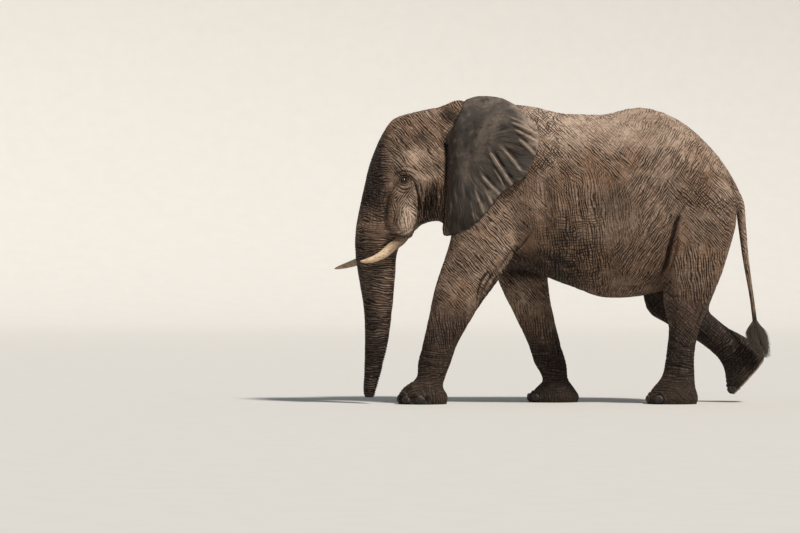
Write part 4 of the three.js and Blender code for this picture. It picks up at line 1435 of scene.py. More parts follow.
@frozen
class Hide:
    """The one skin of the whole animal, from the tip of the trunk to the end of the tail."""

    drawing: Drawing
    voxel: float = 0.012
    most_triangles: int = 198_000
    fine_by_eyes: float = 120.0
    fine_by_nails: float = 105.0
    drawn_in: float = 11.0
    foot_reach: float = 330.0
    level_below: float = 9.0
    lifted_from: float = 1600.0
    carver: Carver = Carver()
    ears: tuple[Ear, ...] = (Ear(Side.LEFT), Ear(Side.RIGHT))

    def form(self, form: Form, side: Side = Side.RIGHT) -> Piece:
        """One form as a closed tube in the part's frame."""
        return tube(form.name, self.drawing.to_frame(form.grid(side)))

    def flesh(self) -> Piece:
        """Barrel, neck, head and legs grown together into one closed surface."""
        parts = [self.form(form) for form in (BARREL, NECK, FACE, JAW)]
        parts += [self.form(form, side) for form in (TUSK_SHEATH, BROW, EAR_ROOT) for side in BOTH]
        parts += [self.form(form, side) for form, side in LEGS]
        flesh = joined("elephant_skin", parts)
        modify(flesh, "REMESH", mode="VOXEL", voxel_size=self.voxel, adaptivity=0.0)
        modify(flesh, "SMOOTH", factor=0.5, iterations=3)
        return flesh

    def soften(self, flesh: Piece) -> None:
        """Rounds the hard inner corners where limbs, neck and head meet the barrel.

        Args:
            flesh: The closed surface.
        """
        places, normals = points_of(flesh), normals_of(flesh)
        a, b = read(flesh.data.edges, "vertices", 2).T
        count = np.bincount(a, minlength=len(places)) + np.bincount(b, minlength=len(places))

        def average(values: Array) -> Array:
            """Each corner's value as the mean of its neighbours'."""
            total = np.bincount(a, values[b], len(places)) + np.bincount(b, values[a], len(places))
            return total / count

        pull = beside(*(average(places[:, i]) for i in range(3))) - places
        hollow = np.clip(np.sum(pull * normals, axis=1) / MM / 0.9, 0, 1)
        drawn = TURN.straighten(self.drawing.from_frame(places))
        on_head = ramp(drawn[:, 0], -1230, -1330)
        wide, narrow = hollow, hollow
        for turn in range(22):
            wide = np.maximum(average(wide) * 0.985, wide * 0.9)
            if turn < 6:
                narrow = np.maximum(average(narrow) * 0.97, narrow * 0.8)
        weight = np.clip(2.2 * (wide * (1 - on_head) + narrow * on_head), 0, 1)
        group = flesh.vertex_groups.new(name="corners")
        for share in np.unique(np.round(weight[weight > 0.05], 1)):
            members = np.flatnonzero(np.round(weight, 1) == share)
            group.add(members.tolist(), float(share), "REPLACE")
        modify(flesh, "SMOOTH", factor=0.5, iterations=70, vertex_group=group.name)
        flesh.vertex_groups.clear()
        modify(flesh, "SMOOTH", factor=0.5, iterations=4)

    def on_head(self, points: Array) -> Array:
        """Which points belong to the head or the trunk."""
        x, _, z = points.T
        return (x < -1215) & (z > 20) & ((x < -1760) | (z > 1650))

    def refine(self, flesh: Piece, wanted: Callable[[Array], Array]) -> None:
        """Splits the faces whose corners are all wanted.

        Args:
            flesh: The closed surface.
            wanted: Picks corners by their places on the straight head.
        """
        chosen = wanted(TURN.straighten(self.drawing.from_frame(points_of(flesh))))
        with editing(flesh):
            bpy.ops.mesh.select_mode(type="VERT")
            bpy.ops.mesh.select_all(action="DESELECT")
        flesh.data.vertices.foreach_set("select", chosen)
        corners = read(flesh.data.loops, "vertex_index").ravel()
        starts = read(flesh.data.polygons, "loop_start").ravel()
        whole = np.minimum.reduceat(chosen[corners].astype(int), starts).astype(bool)
        flesh.data.polygons.foreach_set("select", whole)
        flesh.data.edges.foreach_set("select", chosen[read(flesh.data.edges, "vertices", 2)].all(axis=1))
        with editing(flesh):
            bpy.ops.mesh.subdivide(number_cuts=1, smoothness=0.0)
            bpy.ops.mesh.vertices_smooth(factor=0.5, repeat=2)

    def carve(self, flesh: Piece) -> None:
        """Presses in the folds, forms the lids, and rounds and levels the soles.

        Args:
            flesh: The closed surface.
        """
        straight = TURN.straighten(self.drawing.from_frame(points_of(flesh)))
        relief = Relief(straight, normals_of(flesh))
        regions = Regions.at(straight, np.zeros(len(straight)))
        lift = self.carver.lift(relief, regions) + self.cuticles(relief)
        carved = straight + relief.normals * lift[:, None]
        for side in BOTH:
            carved = Eyelids(side).close(carved)
        for foot in FEET[:3]:
            out = carved[:, :2] - [foot.sole[0], foot.side.value * foot.y]
            reach = np.hypot(*out.T)
            share = ramp(carved[:, 2], 55, 4) ** 1.6 * (reach < self.foot_reach) / np.maximum(reach, 120)
            carved[:, :2] -= out * (self.drawn_in * share)[:, None]
        planted = (carved[:, 0] < self.lifted_from) & (carved[:, 2] < self.level_below)
        carved[:, 2] = np.where(planted, 0, carved[:, 2])
        place_points(flesh, self.drawing.to_frame(TURN.turn(carved)))

    def cuticles(self, hide: Relief) -> Array:
        """The rolls of skin round the toenails and the seats of the nails.

        Args:
            hide: The hide's points and normals.

        Returns:
            How far each point moves outwards, in millimetres.
        """
        points = hide.points
        lift = np.zeros(len(points))
        feet = np.flatnonzero((points[:, 2] < 240) | ((points[:, 0] > 1700) & (points[:, 2] < 700)))
        for nail in TOENAILS:
            away = nail.away(points[feet])
            lift[feet] += 6 * bell(away - 70, 10) - 5 * bell(away - 92, 12) - 20 * ramp(away, 60, 47)
        return lift

    def build(self) -> Piece:
        """Grows, carves, joins and thins the hide.

        Returns:
            The hide, standing in for its nodes.
        """
        skin = self.flesh()
        self.soften(skin)
        self.refine(skin, self.on_head)
        for side in BOTH:
            eye = Eyelids.eye * np.array([1, side.value, 1])
            self.refine(skin, lambda p, eye=eye: np.linalg.norm(p - eye, axis=1) < self.fine_by_eyes)
        self.refine(skin, lambda p: from_nails(p) < self.fine_by_nails)
        self.carve(skin)
        for limb in [*(ear.build(self.drawing) for ear in self.ears), self.form(TAIL)]:
            modify(skin, "BOOLEAN", operation="UNION", solver="MANIFOLD", object=limb)
            bpy.data.objects.remove(limb)
        modify(skin, "TRIANGULATE")
        share = self.most_triangles / len(skin.data.polygons)
        modify(skin, "DECIMATE", ratio=min(1.0, share))
        self.paint_numbers(skin)
        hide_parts(*FLESH_NODES)
        return skin

    def paint_numbers(self, skin: Piece) -> None:
        """Keeps what the finish reads on the hide's points.

        Args:
            skin: The finished surface.
        """
        places = self.drawing.from_frame(points_of(skin))
        points = TURN.straighten(places)
        normals = normals_of(skin)
        ear = most(*(one.share(places) for one in self.ears))
        regions = Regions.at(points, ear)
        lie = self.carver.lie
        shares = lie.shares(points, regions)
        sheet = self.ears[0]
        x, z = places[:, 0], places[:, 2]
        # The folds number paints shade into the drawn creases, the valleys of the ear's pleats and the folds
        # round the lids, and highlight on their banks and crests.
        folds = self.carver.shade(Relief(points, normals)) * (1 - ear) + sheet.pleats(x, z) / 16 * ear
        lids = 0.7 * Eyelids(Side.LEFT).shade(points[:, 0], points[:, 2])
        folds += lids * (1 - ear) * (np.abs(points[:, 1]) > 200)
        paint(skin, "lie", shares[:, :3])
        paint(skin, "level", shares[:, 3] + 0.6 * ear * sheet.streaked(x, z))
        paint(skin, "rings", np.where(ear > 0.5, sheet.fan(x, z), lie.rings(points)))
        paint(skin, "ear", ear)
        paint(skin, "crossing", lie.crossing(points, regions))
        paint(skin, "worn", lie.worn(points, regions))
        paint(skin, "folds", np.clip(folds, -1, 1))
        paint(skin, "tones", Tones().at(points, normals, regions))
        paint(skin, "sole", self.soles(places))

    def soles(self, places: Array) -> Array:
        """1 on the sole of the lifted foot and 0 elsewhere."""
        sole = RIGHT_HIND_LEG.slices[-1]
        toe, heel = np.array(sole.fore, float), np.array(sole.aft, float)
        way = (heel - toe) / np.linalg.norm(heel - toe)
        below = (places[:, [0, 2]] - toe) @ np.array([way[1], -way[0]])
        return ramp(below, -19, -8) * (places[:, 0] > 1700) * (places[:, 1] > 0)


@frozen
class Tones:
    """Where the hide is damp with mud, pale with dust and warm with old dust, and where shade and light are
    painted into it.
    """

    patch: Drift = Drift(seed=41, scale=460)
    blotch: Drift = Drift(seed=42, scale=150)

    def at(self, points: Array, normals: Array, regions: Regions) -> Array:
        """The tones of each point.

        Args:
            points: Places in the drawing, (n, 3).
            normals: Their normals.
            regions: The regions at those points.

        Returns:
            Damp with painted shade, dust with painted light, and warmth, each 0 to 1, (n, 3).
        """
        x, y, z = points.T
        rough = 0.14 * self.patch.at(points) + 0.07 * self.blotch.at(points)
        height = z + 450 * rough
        plain = 1 - regions.ear
        far = y > 0
        # On the far side the damp starts lower on the foreleg, leaving it lighter up high as painted light,
        # and the far hind leg is darker than the near one as painted shade.
        leg_top, leg_foot = np.where(far, 1150, 1330), np.where(far, 350, 520)
        leg = np.where(far, 1.0, 0.9) * regions.leg * ramp(height, leg_top, leg_foot)
        hind = np.where(far, 1.0, 0.8) * ramp(x, 650, 1000) * ramp(height, 1800, np.where(far, 1100, 600))
        # The trunk is darker where it faces forward, as painted shade.
        trunk = regions.trunk * (0.45 + 0.55 * ramp(height, 1350, 350) + 0.3 * ramp(normals[:, 0], 0.2, -0.8))
        # Painted shade under the body, where the hide faces down.
        under = 0.8 * ramp(normals[:, 2], -0.1, -0.8) * ramp(z, 2000, 1500) * ramp(x, 700, 0)
        flank = 0.55 * spot(points, 520, 2110, 330, 260)
        barrel = 0.5 * spot(points, -10, 1740, 260, 200)
        rear = 0.35 * spot(points, 1480, 1800, 220, 260)
        # Painted shade: on the face's front, which faces away from the light, the hollow under the crown, the
        # hollow by the ear's top, the jaw behind the cheek, the gap before the ear, the armpits, the eye's
        # socket and the groove beside the trunk root.
        front = 0.85 * ramp(x, -1770, -1940) * (0.45 + 0.55 * ramp(z, 1900, 2150))
        upper = 0.62 * spot(points, -1500, 2785, 170, 85)
        crown = spot(points, -1180, 3010, 120, 95)
        jaw = 0.85 * spot(points, -1365, 2060, 105, 210)
        gap = bell(x + 1225, 42) * ramp(z, 2900, 2700) * ramp(z, 1720, 1880)
        armpit = ramp(z, 1230, 1380) * ramp(z, 1800, 1650) * (y > 20) * bell(x + 350, 330)
        armpit *= ramp(normals[:, 1], 0.4, -0.2)
        socket = 0.85 * ramp(np.hypot(x + 1684, (z - 2333) * 1.25) + 160 * rough, 100, 40)
        groove = 0.55 * spot(points, -1868, 1950, 60, 260)
        lobe = spot(points, -470, 2640, 150, 110)
        ear = 0.6 * regions.ear * most(lobe, ramp(z, 2250, 1850), ramp(x, -1080, -1180))
        # Damp holds real mud together with all the painted shade above.
        damp = most(leg, hind, trunk, under, flank, barrel, rear, front)
        damp = most(damp, upper, crown, jaw, gap, armpit, socket, groove) * plain + ear
        # The top of the back is paler, partly dust and partly painted light from above.
        top = (0.88 - 0.3 * ramp(x, 600, 1000)) * ramp(height, 2400, 3000) * ramp(x, -900, -200)
        side = 0.1 * ramp(height, 1500, 2300) * ramp(x, -500, -100)
        rump = 0.45 * ramp(x, 1250, 1700) * ramp(height, 2000, 2500)
        shoulder = 0.45 * spot(points, -620, 1790, 210, 260)
        arm = 0.4 * spot(points, -860, 1330, 180, 300) + 0.35 * spot(points, -965, 1000, 80, 120)
        arm *= y < 0
        # Painted light on the upper part of the far foreleg.
        far_leg_light = 0.4 * spot(points, -380, 1060, 180, 170) * (y > 0)
        # Painted light, together with dust, on the sunlit cheek and temple.
        cheek = 1.2 * spot(points, -1640, 1930, 105, 200)
        temple = 0.75 * spot(points, -1570, 2590, 95, 110)
        brow = 0.6 * spot(points, -1480, 2330, 80, 60)
        # The ear's rear rim is paler, partly dust and partly painted light.
        rim = 0.75 * regions.ear * ramp(x + 0.35 * (z - 2800), -480, -290) * ramp(z, 2500, 2740)
        rim += 0.3 * regions.ear * spot(points, -640, 2200, 160, 160)
        tail = 0.45 * ramp(x, 1880, 1930) * ramp(z, 800, 1100)
        # Dust holds real dust together with the painted light above.
        dust = most(top, side, rump, shoulder, arm, far_leg_light, cheek, temple, brow, tail)
        dust = dust * plain + rim + rough
        # Warmth is strongest on the temple, where it goes with the painted light.
        warm = most(1.3 * temple, 0.7 * brow, 0.6 * rump, shoulder, 0.25 * top) * plain
        return np.clip(beside(damp + 0.5 * rough, dust, warm + 0.7 * rough), 0, 1)


# --- tusks, eyes and hair
TUSK_ROOT = ((-1640, 232, 1800), (-1680, 238, 1742), (-1715, 243, 1702), (-1774, 252, 1657))
LEFT_TUSK_LINE = (
    *TUSK_ROOT,
    (-1830, 262, 1612), (-1882, 270, 1568), (-1938, 276, 1535),
    (-1992, 280, 1511), (-2074, 284, 1489), (-2133, 285, 1488),
)
RIGHT_TUSK_LINE = (
    *TUSK_ROOT,
    (-1860, 264, 1596), (-1960, 274, 1540), (-2080, 280, 1487), (-2200, 284, 1446), (-2332, 284, 1409),
)


def spokes(path: Array) -> tuple[Array, Array]:
    """Two directions square to a path at each of its points, (..., k, 3) each."""
    ahead = np.gradient(path, axis=-2)
    ahead /= np.linalg.norm(ahead, axis=-1, keepdims=True) + 1e-12
    first = np.cross(ahead, np.array([0.13, 0.93, 0.34]))
    first /= np.linalg.norm(first, axis=-1, keepdims=True) + 1e-12
    return first, np.cross(ahead, first)


@frozen
class Tusk:
    """One ivory tusk, fluted a little along its length and worn round at its tip."""

    side: Side
    line: tuple[tuple[float, float, float], ...]
    radius: float = 57.0
    rings: int = 110
    sides: int = 56

    def build(self, drawing: Drawing) -> Piece:
        """One tusk.

        Args:
            drawing: The drawing, laid over the part.

        Returns:
            The tusk, standing in for its node.
        """
        line = np.array(self.line, float) * [1, self.side.value, 1]
        fine = TURN.turn(catmull_rom(line, [16] * (len(line) - 1)))
        ways = ways_along(fine)
        along = 1 - (1 - np.linspace(0, 1, self.rings)) ** 1.35
        middle = beside(*(np.interp(along * ways[-1], ways, fine[:, i]) for i in range(3)))
        first, second = spokes(middle)
        taper = np.sqrt(np.clip(1 - along**5, 0, 1)) * (1 - 0.45 * along**1.6)
        radius = np.maximum(1.5, self.radius * taper)
        angle = np.linspace(0, 2 * math.pi, self.sides + 1)
        flutes = 1 + 0.010 * np.cos(7 * angle) + 0.006 * np.cos(13 * angle + 1)
        wide = (radius[:, None] * flutes)[:, :, None]
        cosine, sine = np.cos(angle)[None, :, None], np.sin(angle)[None, :, None]
        grid = middle[:, None] + wide * (first[:, None] * cosine + second[:, None] * sine)
        tusk = tube(f"tusk_{self.side.word}_ivory", drawing.to_frame(grid))
        places = drawing.from_frame(points_of(tusk))
        nearest = np.array([np.argmin(np.sum((middle - place) ** 2, axis=1)) for place in places])
        paint(tusk, "along", along[nearest])
        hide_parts(f"tusk_{self.side.word}")
        return tusk


@frozen
class Eye:
    """One eyeball with a clear bulge over the iris."""

    side: Side
    lids: Eyelids
    iris: float = 12.5
    bulge: float = 1.8

    def gaze(self) -> Array:
        """The way the eye looks, on the straight head: outwards, a little ahead and down."""
        way = np.array([-0.34, self.side.value * 1.0, -0.12])
        return way / np.linalg.norm(way)

    def build(self, drawing: Drawing) -> Piece:
        """One eyeball.

        Args:
            drawing: The drawing, laid over the part.

        Returns:
            The eyeball, standing in for its node.
        """
        eye = ball(f"eye_{self.side.word}_ball", 64, 40)
        ways = points_of(eye)
        off_axis = np.linalg.norm(np.cross(ways, self.gaze()), axis=1) * self.lids.ball
        front = ways @ self.gaze() > 0
        swollen = self.lids.ball + self.bulge * front * ramp(off_axis, self.iris * 1.25, 0)
        x, y, z = self.lids.eye
        middle = np.array([x, self.side.value * (y - self.lids.sunk), z])
        place_points(eye, drawing.to_frame(TURN.turn(middle + ways * swollen[:, None])))
        paint(eye, "off_axis", np.where(front, off_axis / self.iris, 9.0))
        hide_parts(f"eye_{self.side.word}")
        return eye


def strands(name: str, paths: Array, radii: Array, patches: Array, patch: float = 0.003) -> Piece:
    """Many tapering three-sided hairs as one mesh.

    Args:
        name: The piece's name.
        paths: Places along each hair, (hairs, k, 3), root first, in metres.
        radii: Half thickness along each hair, (hairs, k), in metres.
        patches: Where each hair's root lies on the unwrapped skin, (hairs, 2).
        patch: The size of each hair's place on that unwrap.

    Returns:
        The hairs, with a UV map named OFBake.
    """
    hairs, rings = paths.shape[:2]
    first, second = spokes(paths)
    corners = []
    for k in range(3):
        angle = 2 * math.pi * k / 3
        spoke = first * math.cos(angle) + second * math.sin(angle)
        corners.append(paths + spoke * radii[:, :, None])
    places = np.stack(corners, axis=2).reshape(-1, 3)
    a = np.arange(rings * 3 - 3)
    b = a // 3 * 3 + (a + 1) % 3
    starts = (np.arange(hairs) * rings * 3)[:, None, None]
    quads = (beside(a, b, b + 3, a + 3)[None] + starts).reshape(-1, 4)
    ends = np.array([(2, 1, 0), (rings * 3 - 3, rings * 3 - 2, rings * 3 - 1)])
    tips = (ends[None] + starts).reshape(-1, 3)
    mesh = bpy.data.meshes.new(name)
    mesh.from_pydata(places.tolist(), [], quads.tolist() + tips.tolist())
    hair = bpy.data.objects.new(name, mesh)
    bpy.context.scene.collection.objects.link(hair)
    hair_of = np.repeat(np.arange(hairs), rings * 3)
    down = np.tile(np.repeat(np.linspace(0, 1, rings), 3), hairs)
    corner = read(mesh.loops, "vertex_index").ravel()
    local = beside((corner % 3) / 2, down[corner]) - 0.5
    layer = mesh.uv_layers.new(name="OFBake")
    layer.data.foreach_set("uv", (patches[hair_of[corner]] + patch * local).astype(np.float32).ravel())
    paint(hair, "down", down)
    paint(hair, "lock", np.repeat(np.random.default_rng(7).uniform(0, 1, hairs), rings * 3))
    face_out(hair)
    return hair


TAIL_TUFT = Form(
    "tail_tuft",
    Slice("first hairs", (2078, 880), (2018, 875), 28),
    Slice("spread", (2135, 770), (1970, 755), 42),
    Slice("fan", (2170, 650), (2010, 630), 44),
    Slice("lower fan", (2188, 560), (2072, 550), 34),
    Slice("hair tips", (2180, 470), (2135, 468), 14),
)


@frozen
class TailHair:
    """The wiry hairs that fan out from both edges of the tail's end."""

    count: int = 1500
    rings: int = 10
    radius: float = 2.0
    rooted: float = 0.32

    def build(self, drawing: Drawing) -> Piece:
        """All hairs of the tuft as one piece.

        Args:
            drawing: The drawing, laid over the part.

        Returns:
            The tuft, standing in for its node.
        """
        draw = np.random.default_rng(61)
        rows = TAIL_TUFT.rings()
        stations = np.linspace(0, 1, len(rows))
        turn = draw.uniform(0, 2 * math.pi, self.count)
        edge = np.sign(np.cos(turn)) * np.abs(np.cos(turn)) ** 0.6
        fill = np.sqrt(draw.uniform(0.05, 1, self.count))
        start = draw.uniform(0, self.rooted, self.count)
        end = start + draw.uniform(0.45, 0.95, self.count) * (1.02 - start)
        t = start[:, None] + (end - start)[:, None] * np.linspace(0, 1, self.rings)
        fx, fz, ax, az, half = (np.interp(t, stations, rows[:, i]) for i in range(5))
        out = np.linspace(0.25, 1, self.rings) ** 0.5
        loose = np.where(draw.uniform(0, 1, self.count) < 0.2, 1.35, 1.05)[:, None]
        q = edge[:, None] * fill[:, None] * loose * out
        fluff = 1 + 0.4 * bell((fz + az) / 2 - 745, 95)
        x = (fx + ax) / 2 + fluff * q * (fx - ax) / 2
        z = (fz + az) / 2 + fluff * q * (fz - az) / 2
        y = half * np.sin(turn)[:, None] * fill[:, None] * out
        wave = np.sin(t * 9 + draw.uniform(0, 6.28, self.count)[:, None]) * np.linspace(0, 9, self.rings)
        lock = np.floor(turn * 4).astype(int) + 26 * (fill > 0.6)
        lean = draw.normal(0, 9, self.count) + draw.normal(0, 13, lock.max() + 1)[lock]
        lean = lean[:, None] * np.linspace(0, 1, self.rings) ** 2
        paths = np.stack([x + wave + lean, y + 0.6 * wave[:, ::-1], z], axis=2)
        thick = self.radius * draw.uniform(0.6, 1.1, self.count)[:, None]
        radii = thick * np.linspace(1, 0.12, self.rings) ** 0.7
        patches = beside(0.02 + 0.96 * turn / (2 * math.pi), 0.02 + 0.96 * start / self.rooted)
        tuft = strands("tail_tuft_hair", drawing.to_frame(paths), radii * MM, patches)
        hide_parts("tail_tuft")
        return tuft


@frozen
class Lashes:
    """The long lashes of one eye's upper lid."""

    side: Side
    lids: Eyelids
    count: int = 34
    length: float = 30.0

    def build(self, drawing: Drawing) -> Piece:
        """The lashes as one piece."""
        draw = np.random.default_rng(71 + self.side.value)
        place = np.linspace(-0.92, 0.92, self.count) + draw.uniform(-0.03, 0.03, self.count)
        along = self.lids.opening[0] * place
        up = self.lids.opening[1] * np.sqrt(1 - np.clip(place, -1, 1) ** 2) + 0.6
        x, y, z = self.lids.eye
        away = np.minimum(np.hypot(along, up), self.lids.ball * 0.985)
        depth = y - self.lids.sunk + np.sqrt(self.lids.ball**2 - away**2) + 2.5
        ahead, above = tilted(along, up, -self.lids.slant)
        root = beside(x + ahead, self.side.value * depth, z + above)
        t = np.linspace(0, 1, 7)[None, :, None]
        reach = self.length * draw.uniform(0.7, 1.1, self.count)[:, None, None]
        side_way = (0.5 * place + draw.uniform(-0.12, 0.12, self.count))[:, None, None]
        out = np.concatenate([side_way, np.full_like(side_way, self.side.value), side_way * 0 + 0.05], axis=2)
        drop = np.array([0.0, 0.0, -0.5])
        paths = root[:, None] + reach * (t * out + t**2 * drop)
        radii = np.linspace(0.45, 0.08, 7)[None] * np.ones((self.count, 1)) * MM
        patches = beside(0.5 + 0.02 * place, np.full(self.count, 0.5))
        return strands(f"lashes_{self.side.word}", drawing.to_frame(TURN.turn(paths)), radii, patches)


# --- finishes
Socket = bpy.types.NodeSocket
Value = float | tuple[float, ...] | Socket
Inputs = dict[str | int, Value]


class NodeKit:
    """A material under construction."""

    def __init__(self, name: str) -> None:
        """Starts a material with only its shader and its output."""
        self.material = bpy.data.materials.new(name)
        self.material.use_nodes = True
        self.tree = self.material.node_tree
        self.shader = self.tree.nodes["Principled BSDF"]

    def wire(self, socket: Socket, value: Value) -> None:
        """Feeds a socket from another node, or sets it."""
        if isinstance(value, Socket):
            self.tree.links.new(value, socket)
        else:
            socket.default_value = value

    def node(self, kind: str, inputs: Inputs, out: str | int = 0, **settings: object) -> Socket:
        """Adds a node.

        Args:
            kind: The node's type, without its ShaderNode prefix.
            inputs: What goes into each of its sockets, by name or number.
            out: The socket that is handed back.
            settings: The node's own settings by name.

        Returns:
            The chosen output.
        """
        made = self.tree.nodes.new("ShaderNode" + kind)
        for name, value in settings.items():
            setattr(made, name, value)
        for name, value in inputs.items():
            self.wire(made.inputs[name], value)
        return made.outputs[out]

    def calc(self, operation: str, *values: Value) -> Socket:
        """One sum, product or other step of arithmetic."""
        return self.node("Math", dict(enumerate(values)), operation=operation)

    def times(self, first: Value, second: Value) -> Socket:
        """The product of two values."""
        return self.calc("MULTIPLY", first, second)

    def step(self, value: Value, low: float, high: float, to: tuple[float, float] = (0.0, 1.0)) -> Socket:
        """A smooth step of value from to[0] at low to to[1] at high."""
        inputs = {"Value": value, "From Min": low, "From Max": high, "To Min": to[0], "To Max": to[1]}
        return self.node("MapRange", inputs, interpolation_type="SMOOTHSTEP")

    def noise(self, where: Value, scale: float, detail: float = 3.0, out: str = "Fac") -> Socket:
        """Cloudy noise, round 0.5."""
        return self.node("TexNoise", {"Vector": where, "Scale": scale, "Detail": detail}, out)

    def cracks(self, where: Value, scale: float, width: float) -> Socket:
        """1 on the borders of a net of irregular cells and 0 at this width from them."""
        cells = {"Vector": where, "Scale": scale}
        away = self.node("TexVoronoi", cells, "Distance", feature="DISTANCE_TO_EDGE")
        return self.step(away, width, 0.0)

    def blend(self, share: Value, low: Value, high: Value, strength: float = 1.0) -> Socket:
        """Two colours mixed by a share times a strength."""
        share = share if strength == 1.0 else self.times(share, strength)
        return self.node("Mix", {0: share, 6: low, 7: high}, 2, data_type="RGBA")

    def vector(self, operation: str, *values: Value, out: str | int = 0) -> Socket:
        """One step of arithmetic with vectors."""
        return self.node("VectorMath", dict(enumerate(values)), out, operation=operation)

    def stretch(self, where: Value, by: tuple[float, float, float]) -> Socket:
        """A place scaled along the three axes."""
        return self.vector("MULTIPLY", where, by)

    def place(self) -> Socket:
        """The place on the piece, in metres."""
        return self.node("TexCoord", {}, "Object")

    def painted(self, name: str, out: str = "Fac") -> Socket:
        """A number or triple kept on the piece's points."""
        return self.node("Attribute", {}, out, attribute_name=name)

    def parts(self, vector: Value) -> tuple[Socket, Socket, Socket]:
        """The three numbers of a vector."""
        return tuple(self.node("SeparateXYZ", {0: vector}).node.outputs)

    def bump(self, height: Value, distance: float, **inputs: Value) -> Socket:
        """A normal that follows a height."""
        return self.node("Bump", {"Height": height, "Distance": distance, **inputs}, "Normal")

    def finish(self, **inputs: Value) -> bpy.types.Material:
        """Wires the shader's sockets, with _ for a space in their names."""
        for name, value in inputs.items():
            self.wire(self.shader.inputs[name.replace("_", " ")], value)
        return self.material


Colour = tuple[float, float, float, float]


def srgb(red: int, green: int, blue: int) -> Colour:
    """A colour given as display values from 0 to 255, as linear light."""
    shown = (red / 255, green / 255, blue / 255)
    return (*(c / 12.92 if c <= 0.04045 else ((c + 0.055) / 1.055) ** 2.4 for c in shown), 1.0)


